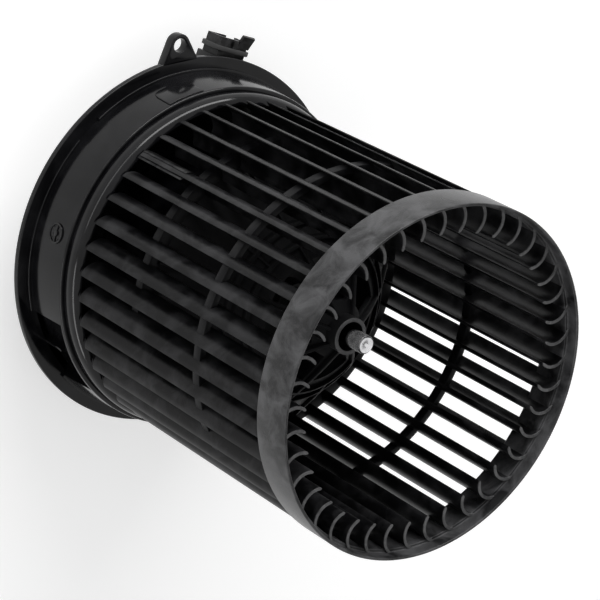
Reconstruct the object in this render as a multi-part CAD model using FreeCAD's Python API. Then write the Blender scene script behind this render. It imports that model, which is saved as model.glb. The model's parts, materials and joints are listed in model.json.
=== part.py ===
import FreeCAD, Part
import math
import os

from FreeCAD import Vector

# Cabin blower: a long cage fan on the shaft of a brushed motor, carried by a flange with a
# bell-mouth lip. Millimetres. The origin is the middle of the rear cover's outer face, on the
# shaft line, and +Z runs along the shaft to the fan's open mouth. The fixing ear lies at +Y.

# Fan wheel, one moulding
FAN_RADIUS = 75.0
FAN_LENGTH = 144.0
BAND_HEIGHT = 18.2
BAND_LIP_WALL = 1.3
BAND_WALL = 2.6
MOUTH_RECESS = 5.5
BLADE_COUNT = 41
BLADE_PHASE = 7.0
BLADE_SETBACK = 1.0
BLADE_DEPTH = 12.5
BLADE_THICKNESS = 1.2
BLADE_BELLY_DEPTH = 7.2
BLADE_ROOT_LEAN = 1.2
BLADE_TIP_LEAN = 6.3
BLADE_RUNS = 6
BLADE_REAR_ROUND = 3.0
MID_RING_FROM_MOUTH = 60.5
MID_RING_HEIGHT = 4.5
MID_RING_DEPTH = 3.0
MID_RING_SETBACK = 2.0
HUB_RIM_FROM_MOUTH = 110.0
HUB_RIM_HEIGHT = 4.6
HUB_RIM_DEPTH = 6.0
HUB_RIM_INSET = 0.5
HUB_WALL = 2.4
HUB_RISE = 48.0
HUB_WINDOW_COUNT = 7
HUB_WINDOW_INNER = 12.5
HUB_WINDOW_OUTER = 28.0
HUB_SPOKE_WIDTH = 5.0
HUB_WINDOW_CORNER = 1.4
HUB_RIB_COUNT = 14
HUB_RIB_WIDTH = 1.4
HUB_RIB_HEIGHT = 2.4
HUB_HOOP_RADII = (34.0, 40.0)
HUB_HOOP_WIDTH = 1.4
BOSS_RADIUS = 8.2
BOSS_WALL = 1.7
BOSS_RECESS = 11.5
BOSS_PROUD = 6.5
BOSS_GRIP = 15.0

# Shaft and its parts
SHAFT_RADIUS = 4.0
SHAFT_PROUD = 10.5
SHAFT_CHAMFER = 0.6
SHAFT_MARK_RADIUS = 1.2
GRIP_CLEARANCE = 0.02
CLIP_THICKNESS = 0.6
CLIP_OUTER = 6.1

# Flange, one moulding
RIM_WIDTH = 4.9
PLATE_THICKNESS = 2.5
COLLAR_HEIGHT = 23.3
COLLAR_DRAFT = 1.0
COLLAR_WALL = 2.0
COLLAR_OVER_FAN = 2.6
LIP_RISE = 7.4
LIP_GAP = 1.8
LIP_INSET = 3.6
LIP_WALL = 2.0
STEP_HEIGHT = 1.5
STEP_WIDTH = 1.0
SLOT_START = 189.0
SLOT_SWEEP = 28.0
SLOT_LIP = 1.6
DUCT_DEPTH = 9.0
DUCT_WALL = 2.0
NOTCH_START = 122.5
NOTCH_SWEEP = 9.0
PAD_START = 92.5
PAD_SWEEP = 13.0
PAD_LENGTH = 14.5
PAD_CORNER = 4.0
RAISED = 0.5
DATE_AZIMUTH = 160.0
DATE_HEIGHT = 14.5
DATE_RADIUS = 4.5
EAR_BEYOND_RIM = 6.4
EAR_RADIUS = 5.0
EAR_HALF_BASE = 9.3
EAR_THICKNESS = 4.4
EAR_HOLE_RADIUS = 3.1
CUP_WALL = 2.0
CUP_HEIGHT = 50.0
CUP_LIP = 2.2
RIB_COUNT = 12
RIB_WIDTH = 1.6
RIB_DEPTH = 6.0

# Motor
CAN_RADIUS = 36.0
CAN_WALL = 1.5
CAN_LENGTH = 81.0
CAN_VENTS = 6
CAN_VENT_RADIUS = 4.5
CAN_VENT_CIRCLE = 22.0
BEARING_RADIUS = 8.0
BEARING_LENGTH = 8.0
BEARING_RUNNING = 0.03
BEARING_HOUSING_WALL = 2.0
SHAFT_WINDOW = 0.8
DAMPER_THICKNESS = 4.0
DAMPER_HEIGHT = 11.0
DAMPER_NOTCH = 1.6
FIT = 0.15
BRUSH_PLATE_BELOW_SEAT = 8.0
BRUSH_PLATE_THICKNESS = 3.0
SPIGOT_DEPTH = 2.0
COMMUTATOR_RADIUS = 11.0
COMMUTATOR_LENGTH = 14.0
COMMUTATOR_BARS = 12
COMMUTATOR_SLOT = 0.8
COMMUTATOR_OVER_PLATE = 4.0
CORE_RADIUS = 24.0
CORE_LENGTH = 36.0
CORE_OVER_COMMUTATOR = 9.0
CORE_SLOTS = 12
CORE_SLOT_WIDTH = 4.4
CORE_SLOT_DEPTH = 9.5
WINDING_OVERHANG = 7.5
MAGNET_AIR_GAP = 1.2
MAGNET_SWEEP = 126.0
MAGNET_OVERHANG = 4.0
BRUSH_WIDTH = 6.0
BRUSH_HEIGHT = 8.0
BRUSH_LENGTH = 12.0
BRUSH_GAP = 0.3
BRUSH_BOX_WALL = 0.8
BRUSH_BOX_CLEARANCE = 0.2
BRUSH_SPRING_LENGTH = 8.0
SPRING_WIRE = 0.6
SPRING_TURNS = 6
SPRING_CORNERS = 8
CHOKE_RADIUS = 3.0
CHOKE_LENGTH = 14.0
CHOKE_CIRCLE = 24.0
WASHER_THICKNESS = 0.8
END_FLOAT = 0.2
WASHER_RADIUS = 6.5

# Rear cover and its screws
COVER_DEPTH = 27.5
COVER_RADIUS = 46.0
COVER_WALL = 2.0
COVER_ROUND = 2.5
COVER_SLOTS = 10
COVER_SLOT_WIDTH = 4.0
COVER_TAB_RADIUS = 5.0
COVER_TAB_REACH = 6.0
COVER_TAB_THICKNESS = 4.0
SCREW_RADIUS = 1.8
SCREW_HEAD_RADIUS = 3.6
SCREW_HEAD_HEIGHT = 2.4
SCREW_LENGTH = 13.0
SCREW_COUNT = 3
SCREW_CLEARANCE = 0.2

# Connector behind the rim
CONNECTOR_AZIMUTH = 67.5
CONNECTOR_DROP = 13.5
CONNECTOR_FROM_COVER = 11.0
SOCKET_PROUD = 3.9
CONNECTOR_WIDTH = 16.0
CONNECTOR_HEIGHT = 11.0
CONNECTOR_WALL = 1.4
SOCKET_DEPTH = 13.0
GROMMET_FROM_RIM = 1.1
GROMMET_THICKNESS = 2.0
GROMMET_PROUD = 2.2
TERMINAL_PITCH = 6.0
TERMINAL_WIDTH = 2.8
TERMINAL_THICKNESS = 0.8
TERMINAL_SETBACK = 5.3
LATCH_LENGTH = 6.2
LATCH_WIDTH = 6.5
LATCH_THICKNESS = 1.4
LATCH_TILT = 24.0

# Balance clip on one blade's rear end
BALANCE_BLADE = 13
BALANCE_LENGTH = 30.0
BALANCE_STRIP = 0.6
BALANCE_DEPTH = 5.5
BALANCE_GAP = 0.15

# Stations worked out from the sizes above
SEAT_Z = COVER_DEPTH + PLATE_THICKNESS
COLLAR_TOP = SEAT_Z + COLLAR_HEIGHT
LIP_TOP = COLLAR_TOP + LIP_RISE
FAN_REAR = LIP_TOP + LIP_GAP
FAN_TOP = FAN_REAR + FAN_LENGTH
LEDGE_Z = FAN_TOP - MOUTH_RECESS
HUB_RIM_TOP = FAN_TOP - HUB_RIM_FROM_MOUTH
HUB_TOP = HUB_RIM_TOP + HUB_RISE
BOSS_TOP = HUB_TOP + BOSS_PROUD
BLADE_OUTER = FAN_RADIUS - BLADE_SETBACK
BLADE_INNER = BLADE_OUTER - BLADE_DEPTH
HUB_RIM_INNER = BLADE_INNER + HUB_RIM_INSET
COLLAR_RADIUS = FAN_RADIUS + COLLAR_OVER_FAN
COLLAR_BASE_RADIUS = COLLAR_RADIUS + COLLAR_DRAFT
RIM_RADIUS = COLLAR_BASE_RADIUS + STEP_WIDTH + RIM_WIDTH
EAR_REACH = RIM_RADIUS + EAR_BEYOND_RIM
LIP_CREST = FAN_RADIUS - LIP_INSET + LIP_WALL
WELL_RADIUS = LIP_CREST - LIP_WALL
CUP_RADIUS = CAN_RADIUS + DAMPER_THICKNESS
BRUSH_PLATE_Z = SEAT_Z - BRUSH_PLATE_BELOW_SEAT
CAN_REAR = BRUSH_PLATE_Z + BRUSH_PLATE_THICKNESS
CAN_FRONT = CAN_REAR + CAN_LENGTH
HOUSING_RADIUS = BEARING_RADIUS + BEARING_HOUSING_WALL
COMMUTATOR_Z = CAN_REAR + COMMUTATOR_OVER_PLATE
CORE_Z = COMMUTATOR_Z + COMMUTATOR_LENGTH + CORE_OVER_COMMUTATOR
CORE_END = CORE_Z + CORE_LENGTH
MAGNET_INNER = CORE_RADIUS + MAGNET_AIR_GAP
BRUSH_Z = COMMUTATOR_Z + COMMUTATOR_LENGTH / 2 - BRUSH_HEIGHT / 2
BRUSH_INNER = COMMUTATOR_RADIUS + BRUSH_GAP
BRUSH_OUTER = BRUSH_INNER + BRUSH_LENGTH
SHAFT_REAR = BRUSH_PLATE_Z - BEARING_LENGTH - 1.0
SHAFT_TOP = BOSS_TOP + SHAFT_PROUD
CONNECTOR_Z = SEAT_Z - CONNECTOR_DROP
CONNECTOR_INNER = COVER_RADIUS + CONNECTOR_FROM_COVER
GROMMET_RADIUS = RIM_RADIUS + GROMMET_FROM_RIM
CONNECTOR_OUTER = GROMMET_RADIUS + GROMMET_THICKNESS + SOCKET_PROUD
SCREW_CIRCLE = COVER_RADIUS + COVER_TAB_REACH

AXIS = Vector(0, 0, 1)
ORIGIN = Vector(0, 0, 0)


def cylinder(radius, bottom, top, x=0.0, y=0.0):
    """Round bar standing on the plane at bottom."""
    return Part.makeCylinder(radius, top - bottom, Vector(x, y, bottom), AXIS)


def ring(outer, inner, bottom, top):
    """Plain tube about the shaft line."""
    return cylinder(outer, bottom, top).cut(cylinder(inner, bottom, top))


def box(x_range, y_range, z_range):
    """Block between three pairs of coordinates."""
    size = [high - low for low, high in (x_range, y_range, z_range)]
    return Part.makeBox(*size, Vector(x_range[0], y_range[0], z_range[0]))


def turn(shape, degrees):
    """Copy of a shape turned about the shaft line."""
    copy = shape.copy()
    copy.rotate(ORIGIN, AXIS, degrees)
    return copy


def around(shape, count, start=0.0):
    """Copies of a shape evenly spaced about the shaft line."""
    return [turn(shape, start + 360.0 * k / count) for k in range(count)]


def polar(radius, degrees, z=0.0):
    """Point at a radius and an azimuth."""
    angle = math.radians(degrees)
    return Vector(radius * math.cos(angle), radius * math.sin(angle), z)


def closed_face(points, lift):
    """Face inside an outline; a point with a third item is the middle of an arc."""
    edges = []
    index = 0
    while index < len(points):
        here = lift(points[index])
        following = points[(index + 1) % len(points)]
        if len(following) == 3:
            end = lift(points[(index + 2) % len(points)])
            edges.append(Part.Arc(here, lift(following), end).toShape())
            index += 2
        else:
            edges.append(Part.LineSegment(here, lift(following)).toShape())
            index += 1
    return Part.Face(Part.Wire(edges))


def turned(points):
    """Solid turned about the shaft line from an outline of (radius, height) points."""
    face = closed_face(points, lambda point: Vector(point[0], 0, point[1]))
    return face.revolve(ORIGIN, AXIS, 360)


def raised(points, bottom, top):
    """Plate with an outline of (x, y) points between two heights."""
    face = closed_face(points, lambda point: Vector(point[0], point[1], bottom))
    return face.extrude(Vector(0, 0, top - bottom))


def sector(outer, inner, start, sweep, bottom, top):
    """Part of a tube between two azimuths."""
    middle = start + sweep / 2
    corners = [polar(outer, start), polar(outer, middle), polar(outer, start + sweep),
               polar(inner, start + sweep), polar(inner, middle), polar(inner, start)]
    points = [(corner.x, corner.y) for corner in corners]
    points[1] += ("arc",)
    points[4] += ("arc",)
    return raised(points, bottom, top)


def join(first, others):
    """One clean solid from pieces that meet."""
    return first.multiFuse(list(others)).removeSplitter()


def blade_layer(near, far):
    """Outline of a layer between two offsets from a blade's middle line.

    The middle line is an arc from root to tip, drawn as even straight runs.
    """
    root = Vector(BLADE_INNER, BLADE_ROOT_LEAN, 0)
    belly = Vector(BLADE_OUTER - BLADE_BELLY_DEPTH, 0, 0)
    tip = Vector(BLADE_OUTER + BLADE_THICKNESS / 2, BLADE_TIP_LEAN, 0)
    arc = Part.Arc(root, belly, tip).toShape()
    centre = arc.Curve.Center
    line = arc.discretize(BLADE_RUNS + 1)
    if line[0].distanceToPoint(root) > line[-1].distanceToPoint(root):
        line.reverse()

    def shifted(point, distance):
        ray = point - centre
        return centre + ray * ((ray.Length + distance) / ray.Length)

    outer = [shifted(point, far) for point in line]
    inner = [shifted(point, near) for point in reversed(line)]
    return [(point.x, point.y) for point in outer + inner]


def blade():
    """One blade with its corners taken off at the free rear end."""
    corner = BLADE_REAR_ROUND
    prism = raised(blade_layer(-BLADE_THICKNESS / 2, BLADE_THICKNESS / 2), FAN_REAR, LEDGE_Z)
    side = closed_face([
        (BLADE_INNER - 1, LEDGE_Z), (BLADE_INNER - 1, FAN_REAR + corner + 1),
        (BLADE_INNER, FAN_REAR + corner), (BLADE_INNER + corner * 0.3, FAN_REAR + corner * 0.3),
        (BLADE_INNER + corner, FAN_REAR), (BLADE_OUTER - 1, FAN_REAR),
        (BLADE_OUTER, FAN_REAR + 1), (BLADE_OUTER, LEDGE_Z),
    ], lambda point: Vector(point[0], -BLADE_DEPTH, point[1]))
    return prism.common(side.extrude(Vector(0, 2 * BLADE_DEPTH, 0)))


def hub_surface(radius):
    """Height of the cone's mouth side at a radius."""
    share = (radius - BOSS_RADIUS) / (HUB_RIM_INNER - BOSS_RADIUS)
    return HUB_TOP - HUB_RISE * share


def on_hub(inner, outer, above, below):
    """Outline of a layer that follows the cone."""
    return [(inner, hub_surface(inner) + above), (outer, hub_surface(outer) + above),
            (outer, hub_surface(outer) - below), (inner, hub_surface(inner) - below)]


def hub_window():
    """Cooling opening between two spokes, with the spokes of even width."""
    half_angle = 180.0 / HUB_WINDOW_COUNT
    sides = []
    for radius in (HUB_WINDOW_INNER, HUB_WINDOW_OUTER):
        sides.append(half_angle - math.degrees(math.asin(HUB_SPOKE_WIDTH / 2 / radius)))
    inner = [polar(HUB_WINDOW_INNER, angle) for angle in (-sides[0], 0, sides[0])]
    outer = [polar(HUB_WINDOW_OUTER, angle) for angle in (sides[1], 0, -sides[1])]
    points = [(point.x, point.y) for point in inner + outer]
    points[1] += ("arc",)
    points[4] += ("arc",)
    prism = raised(points, HUB_RIM_TOP, HUB_TOP)
    upright = [edge for edge in prism.Edges if abs(edge.tangentAt(edge.FirstParameter).z) > 0.9]
    return prism.makeFillet(HUB_WINDOW_CORNER, upright)


def hub():
    """Cone with cooling openings, ribs, hoops and the boss that grips the shaft."""
    cone = turned(on_hub(BOSS_RADIUS - 1, HUB_RIM_INNER + 1, 0, HUB_WALL))
    for opening in around(hub_window(), HUB_WINDOW_COUNT, 180.0 / HUB_WINDOW_COUNT):
        cone = cone.cut(opening)
    bore = SHAFT_RADIUS + GRIP_CLEARANCE
    recess = BOSS_RADIUS - BOSS_WALL
    floor = BOSS_TOP - BOSS_RECESS
    boss = turned([(bore, floor - BOSS_GRIP), (BOSS_RADIUS, floor - BOSS_GRIP),
                   (BOSS_RADIUS, BOSS_TOP), (recess, BOSS_TOP), (recess, floor), (bore, floor)])
    pieces = [boss]
    for radius in HUB_HOOP_RADII:
        hoop = on_hub(radius, radius + HUB_HOOP_WIDTH, HUB_RIB_HEIGHT, HUB_WALL / 2)
        pieces.append(turned(hoop))
    rib_end = HUB_RIM_INNER + HUB_RIM_DEPTH / 4
    for index in range(HUB_RIB_COUNT):
        step = HUB_RIB_COUNT // HUB_WINDOW_COUNT
        start = BOSS_RADIUS - BOSS_WALL / 2 if index % step == 0 else HUB_HOOP_RADII[0]
        rib = closed_face(on_hub(start, rib_end, HUB_RIB_HEIGHT, HUB_WALL / 2),
                          lambda point: Vector(point[0], -HUB_RIB_WIDTH / 2, point[1]))
        pieces.append(turn(rib.extrude(Vector(0, HUB_RIB_WIDTH, 0)), 360.0 * index / HUB_RIB_COUNT))
    return join(cone, pieces)


def fan_wheel():
    """Whole fan wheel: mouth band, blades, middle ring, hub rim and hub in one moulding."""
    lip = FAN_RADIUS - BAND_LIP_WALL
    wall = FAN_RADIUS - BAND_WALL
    soft = BAND_LIP_WALL / 3
    band = turned([
        (FAN_RADIUS - soft, FAN_TOP), (FAN_RADIUS, FAN_TOP - soft),
        (FAN_RADIUS, FAN_TOP - BAND_HEIGHT),
        (wall, FAN_TOP - BAND_HEIGHT), (wall, LEDGE_Z), (lip, LEDGE_Z), (lip, FAN_TOP),
    ])
    middle_outer = BLADE_OUTER - MID_RING_SETBACK
    middle_top = FAN_TOP - MID_RING_FROM_MOUTH
    middle = ring(middle_outer, middle_outer - MID_RING_DEPTH,
                  middle_top - MID_RING_HEIGHT, middle_top)
    rim = ring(HUB_RIM_INNER + HUB_RIM_DEPTH, HUB_RIM_INNER, HUB_RIM_TOP - HUB_RIM_HEIGHT,
               HUB_RIM_TOP)
    blades = around(blade(), BLADE_COUNT, BLADE_PHASE)
    return band.multiFuse([middle, rim, hub()] + blades)


def balance_clip():
    """Spring strip folded round the rear end of one blade and following its curve."""
    near = BLADE_THICKNESS / 2 + BALANCE_GAP
    far = near + BALANCE_STRIP
    fold = FAN_REAR - BALANCE_GAP
    front = FAN_REAR + BALANCE_LENGTH
    legs = raised(blade_layer(near, far), fold - BALANCE_STRIP, front)
    other = raised(blade_layer(-far, -near), fold - BALANCE_STRIP, front)
    bend = raised(blade_layer(-far, far), fold - BALANCE_STRIP, fold)
    outer = BLADE_OUTER - BALANCE_GAP
    band = ring(outer, outer - BALANCE_DEPTH, fold - BALANCE_STRIP - 1, front + 1)
    strip = join(legs, [other, bend]).common(band)
    return turn(strip, BLADE_PHASE + 360.0 * BALANCE_BLADE / BLADE_COUNT)


def motor_shaft():
    """Ground shaft with a chamfered end and a small centre mark."""
    rod = turned([(0, SHAFT_REAR), (SHAFT_RADIUS - SHAFT_CHAMFER, SHAFT_REAR),
                  (SHAFT_RADIUS, SHAFT_REAR + SHAFT_CHAMFER),
                  (SHAFT_RADIUS, SHAFT_TOP - SHAFT_CHAMFER),
                  (SHAFT_RADIUS - SHAFT_CHAMFER, SHAFT_TOP), (SHAFT_MARK_RADIUS, SHAFT_TOP),
                  (0, SHAFT_TOP - SHAFT_MARK_RADIUS)])
    return rod


def hub_clip():
    """Split spring washer that holds the boss on the shaft."""
    floor = BOSS_TOP - BOSS_RECESS
    washer = ring(CLIP_OUTER, SHAFT_RADIUS + GRIP_CLEARANCE, floor, floor + CLIP_THICKNESS)
    return washer.cut(box((0, FAN_RADIUS), (-1, 1), (floor - 1, floor + 2)))


def flange_section():
    """Turned outline of the rim, collar, bell-mouth lip, well and motor cup."""
    under = SEAT_Z - PLATE_THICKNESS
    step = COLLAR_BASE_RADIUS + STEP_WIDTH
    groove = COLLAR_RADIUS - 1.8
    crest_outer = (groove + LIP_CREST) / 2
    cavity_top = COLLAR_TOP - LIP_WALL
    wall_inner = WELL_RADIUS + LIP_WALL
    cup_outer = CUP_RADIUS + CUP_WALL
    cup_top = SEAT_Z + CUP_HEIGHT
    return [
        (RIM_RADIUS, under), (RIM_RADIUS, SEAT_Z), (step, SEAT_Z), (step, SEAT_Z + STEP_HEIGHT),
        (COLLAR_BASE_RADIUS, SEAT_Z + STEP_HEIGHT), (COLLAR_RADIUS, COLLAR_TOP - 0.8),
        (COLLAR_RADIUS - 0.8, COLLAR_TOP),
        (groove + 0.2, COLLAR_TOP), (groove, COLLAR_TOP - 0.6),
        (crest_outer + 0.5, LIP_TOP - LIP_RISE * 0.45, "arc"), (LIP_CREST, LIP_TOP),
        (WELL_RADIUS + 0.5, LIP_TOP - 0.5, "arc"), (WELL_RADIUS, LIP_TOP - LIP_WALL),
        (WELL_RADIUS, SEAT_Z), (cup_outer, SEAT_Z), (cup_outer, cup_top),
        (CUP_RADIUS - CUP_LIP, cup_top), (CUP_RADIUS - CUP_LIP, cup_top - CUP_WALL),
        (CUP_RADIUS, cup_top - CUP_WALL), (CUP_RADIUS, under), (wall_inner, under),
        (wall_inner, cavity_top), (COLLAR_RADIUS - COLLAR_WALL, cavity_top),
        (COLLAR_BASE_RADIUS - COLLAR_WALL, under),
    ]


def ear():
    """Lug with round end whose sides run tangent to it, standing out of the rim."""
    root = math.sqrt(RIM_RADIUS ** 2 - EAR_HALF_BASE ** 2) - 1
    foot = Vector(EAR_HALF_BASE, root, 0)
    to_centre = Vector(0, EAR_REACH, 0) - foot
    lean = math.asin(EAR_RADIUS / to_centre.Length)
    angle = math.atan2(to_centre.y, to_centre.x) - lean
    side = to_centre.Length * math.cos(lean)
    touch = foot + Vector(math.cos(angle), math.sin(angle), 0) * side
    return raised([(-foot.x, foot.y), (-touch.x, touch.y), (0, EAR_REACH + EAR_RADIUS, "arc"),
                   (touch.x, touch.y), (foot.x, foot.y)], SEAT_Z - EAR_THICKNESS, SEAT_Z)


def collar_pad():
    """Low pad with rounded foot on the outside of the collar."""
    pad = sector(COLLAR_BASE_RADIUS + RAISED, COLLAR_RADIUS - 1, PAD_START, PAD_SWEEP,
                 COLLAR_TOP - PAD_LENGTH, COLLAR_TOP - 1)
    foot = [edge for edge in pad.Edges
            if abs(edge.CenterOfMass.z - (COLLAR_TOP - PAD_LENGTH)) < 0.01 and edge.Length < 4]
    return pad.makeFillet(PAD_CORNER, foot)


def date_mark():
    """Round mark on the collar: a hoop with a plain pointer across it."""
    start = Vector(COLLAR_RADIUS - 1, 0, SEAT_Z + DATE_HEIGHT)
    across = Vector(1, 0, 0)
    reach = COLLAR_DRAFT + 1 + RAISED
    disc = Part.makeCylinder(DATE_RADIUS, reach, start, across)
    hollow = Part.makeCylinder(DATE_RADIUS - 0.9, reach, start, across)
    height = SEAT_Z + DATE_HEIGHT
    pointer = box((COLLAR_RADIUS - 1, COLLAR_RADIUS - 1 + reach), (-0.5, 0.5),
                  (height - DATE_RADIUS + 0.5, height + DATE_RADIUS - 0.5))
    return turn(disc.cut(hollow).fuse(pointer), DATE_AZIMUTH)


def rear_ribs():
    """Radial stiffening ribs behind the floor and webs across the groove of the collar."""
    under = SEAT_Z - PLATE_THICKNESS
    start = COVER_RADIUS + 1.5
    rib = box((start, WELL_RADIUS + LIP_WALL), (-RIB_WIDTH / 2, RIB_WIDTH / 2),
              (under - RIB_DEPTH, under + 0.5))
    web = box((WELL_RADIUS + LIP_WALL / 2, COLLAR_RADIUS - COLLAR_WALL / 2),
              (-RIB_WIDTH / 2, RIB_WIDTH / 2), (under, SEAT_Z + COLLAR_HEIGHT / 2))
    phase = CONNECTOR_AZIMUTH + 180.0 / RIB_COUNT
    return around(rib, RIB_COUNT, phase) + around(web, RIB_COUNT, phase)


def cooling_duct():
    """Closed channel under the floor that leads air from the collar's slot to the rear cover."""
    under = SEAT_Z - PLATE_THICKNESS
    margin = math.degrees(DUCT_WALL / COLLAR_RADIUS)
    start = SLOT_START - margin
    sweep = SLOT_SWEEP + 2 * margin
    outside = sector(COLLAR_BASE_RADIUS, COVER_RADIUS + 1.5, start, sweep, under - DUCT_DEPTH,
                     under + 0.5)
    inside = sector(COLLAR_BASE_RADIUS - COLLAR_WALL, COVER_RADIUS, SLOT_START, SLOT_SWEEP,
                    under - DUCT_DEPTH + DUCT_WALL, under)
    groove = sector(COLLAR_BASE_RADIUS - COLLAR_WALL, WELL_RADIUS + LIP_WALL, SLOT_START,
                    SLOT_SWEEP, under - 0.5, under + 1)
    return outside.cut([inside, groove])


def screw_azimuths():
    """Azimuths of the rear cover's screws, midway between ribs."""
    return [CONNECTOR_AZIMUTH + 60 + 360.0 * k / SCREW_COUNT for k in range(SCREW_COUNT)]


def connector_cheeks():
    """Two walls under the rim that hold the connector's housing between them."""
    under = SEAT_Z - PLATE_THICKNESS
    inside = CONNECTOR_WIDTH / 2 + FIT
    cheeks = []
    for side in (1, -1):
        span = sorted((side * inside, side * (inside + COLLAR_WALL)))
        wall = box((CONNECTOR_INNER + 4, WELL_RADIUS + LIP_WALL / 2), span,
                   (CONNECTOR_Z - CONNECTOR_HEIGHT / 2, under + 0.5))
        outer = box((COLLAR_RADIUS - COLLAR_WALL / 2, RIM_RADIUS - 1.5), span,
                    (CONNECTOR_Z - CONNECTOR_HEIGHT / 2, under + 0.5))
        cheeks += [turn(wall, CONNECTOR_AZIMUTH), turn(outer, CONNECTOR_AZIMUTH)]
    return cheeks


def mounting_flange():
    """Flange moulding: rim with ear, slotted collar, bell-mouth lip, well and motor cup."""
    body = turned(flange_section())
    additions = [ear(), collar_pad(), date_mark(), cooling_duct()]
    additions += rear_ribs() + connector_cheeks()
    for azimuth in screw_azimuths():
        foot = polar(SCREW_CIRCLE, azimuth)
        additions.append(cylinder(SCREW_RADIUS + 2.6, SEAT_Z - 1, SEAT_Z + SCREW_LENGTH - 4,
                                  foot.x, foot.y))
    body = body.multiFuse(additions)
    cuts = [
        sector(COLLAR_BASE_RADIUS + STEP_WIDTH + 1, COLLAR_RADIUS - COLLAR_WALL - 1, SLOT_START,
               SLOT_SWEEP, SEAT_Z, COLLAR_TOP - SLOT_LIP),
        sector(COLLAR_BASE_RADIUS + STEP_WIDTH + 1, COLLAR_BASE_RADIUS, NOTCH_START,
               NOTCH_SWEEP, SEAT_Z, SEAT_Z + STEP_HEIGHT + 1),
        cylinder(EAR_HOLE_RADIUS, SEAT_Z - EAR_THICKNESS - 1, SEAT_Z + 1, 0, EAR_REACH),
    ]
    for azimuth in screw_azimuths():
        foot = polar(SCREW_CIRCLE, azimuth)
        cuts.append(cylinder(SCREW_RADIUS + SCREW_CLEARANCE, SEAT_Z - PLATE_THICKNESS - 1,
                             SEAT_Z + SCREW_LENGTH - 6, foot.x, foot.y))
    return body.cut(cuts).removeSplitter()


def motor_can():
    """Drawn steel can with a bearing housing and vents in its front wall."""
    inside = CAN_RADIUS - CAN_WALL
    top = CAN_FRONT + BEARING_LENGTH
    bore = SHAFT_RADIUS + SHAFT_WINDOW
    pocket = BEARING_RADIUS + FIT
    can = turned([
        (inside, CAN_REAR), (CAN_RADIUS, CAN_REAR), (CAN_RADIUS, CAN_FRONT - 2.5),
        (CAN_RADIUS - 0.7, CAN_FRONT - 0.7), (CAN_RADIUS - 2.5, CAN_FRONT),
        (HOUSING_RADIUS, CAN_FRONT), (HOUSING_RADIUS, top), (bore, top), (bore, top - CAN_WALL),
        (pocket, top - CAN_WALL), (pocket, CAN_FRONT - CAN_WALL), (inside, CAN_FRONT - CAN_WALL),
    ])
    vent = cylinder(CAN_VENT_RADIUS, CAN_FRONT - CAN_WALL - 1, CAN_FRONT + 1, CAN_VENT_CIRCLE)
    return can.cut(around(vent, CAN_VENTS))


def bearing(bottom):
    """Sintered bush, tapered towards both ends."""
    bore = SHAFT_RADIUS + BEARING_RUNNING
    top = bottom + BEARING_LENGTH
    taper = BEARING_LENGTH / 3
    end = BEARING_RADIUS - 1.2
    return turned([(bore, bottom), (end, bottom), (BEARING_RADIUS, bottom + taper),
                   (BEARING_RADIUS, top - taper), (end, top), (bore, top)])


def bearing_retainer(bottom):
    """Toothed spring washer that keeps a bush in its housing."""
    washer = ring(BEARING_RADIUS, SHAFT_RADIUS + SHAFT_WINDOW, bottom, bottom + CLIP_THICKNESS)
    tooth_gap = box((BEARING_RADIUS - 1.5, BEARING_RADIUS + 1), (-0.8, 0.8),
                    (bottom - 1, bottom + 2))
    return washer.cut(around(tooth_gap, 6))


def damper(bottom):
    """Rubber ring between the can and the cup, lightened by notches inside."""
    height = DAMPER_HEIGHT
    body = ring(CUP_RADIUS - FIT, CAN_RADIUS + FIT, bottom, bottom + height)
    notch = box((CAN_RADIUS - 1, CAN_RADIUS + DAMPER_NOTCH), (-DAMPER_NOTCH, DAMPER_NOTCH),
                (bottom - 1, bottom + height + 1))
    return body.cut(around(notch, 12))


def brush_plate():
    """Moulded end plate of the motor with the rear bearing housing and choke saddles."""
    inside = CAN_RADIUS - CAN_WALL - FIT
    foot = BRUSH_PLATE_Z - BEARING_LENGTH - 3.0
    pocket = BEARING_RADIUS + FIT
    plate = turned([
        (0, foot), (HOUSING_RADIUS, foot), (HOUSING_RADIUS, BRUSH_PLATE_Z),
        (CAN_RADIUS, BRUSH_PLATE_Z), (CAN_RADIUS, CAN_REAR), (inside, CAN_REAR),
        (inside, CAN_REAR + SPIGOT_DEPTH), (inside - 2, CAN_REAR + SPIGOT_DEPTH),
        (inside - 2, CAN_REAR), (pocket, CAN_REAR), (pocket, BRUSH_PLATE_Z - BEARING_LENGTH),
        (SHAFT_RADIUS + 1, BRUSH_PLATE_Z - BEARING_LENGTH), (SHAFT_RADIUS + 1, SHAFT_REAR - 0.5),
        (0, SHAFT_REAR - 0.5),
    ])
    saddle = box((CHOKE_CIRCLE - 2, CHOKE_CIRCLE + 2),
                 (-CHOKE_LENGTH / 2 - 2, -CHOKE_LENGTH / 2 - 0.3), (CAN_REAR - 0.5, CAN_REAR + 5))
    saddles = []
    for azimuth in choke_azimuths():
        saddles += [turn(saddle, azimuth), turn(saddle.mirror(ORIGIN, Vector(0, 1, 0)), azimuth)]
    stand = box((COMMUTATOR_RADIUS + 3, inside - 2.5), (-2, 2), (CAN_REAR - 0.5, brush_box_z()))
    stands = [turn(stand, azimuth) for azimuth in brush_azimuths()]
    return plate.multiFuse(saddles + stands).removeSplitter()


def brush_azimuths():
    """Azimuths of the two brushes."""
    return (CONNECTOR_AZIMUTH + 90, CONNECTOR_AZIMUTH - 90)


def choke_azimuths():
    """Azimuths of the two suppression chokes, midway between the brushes."""
    return (CONNECTOR_AZIMUTH, CONNECTOR_AZIMUTH + 180)


def brush_box_z():
    """Height of the underside of the brush boxes."""
    return BRUSH_Z - BRUSH_BOX_CLEARANCE - BRUSH_BOX_WALL


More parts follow.
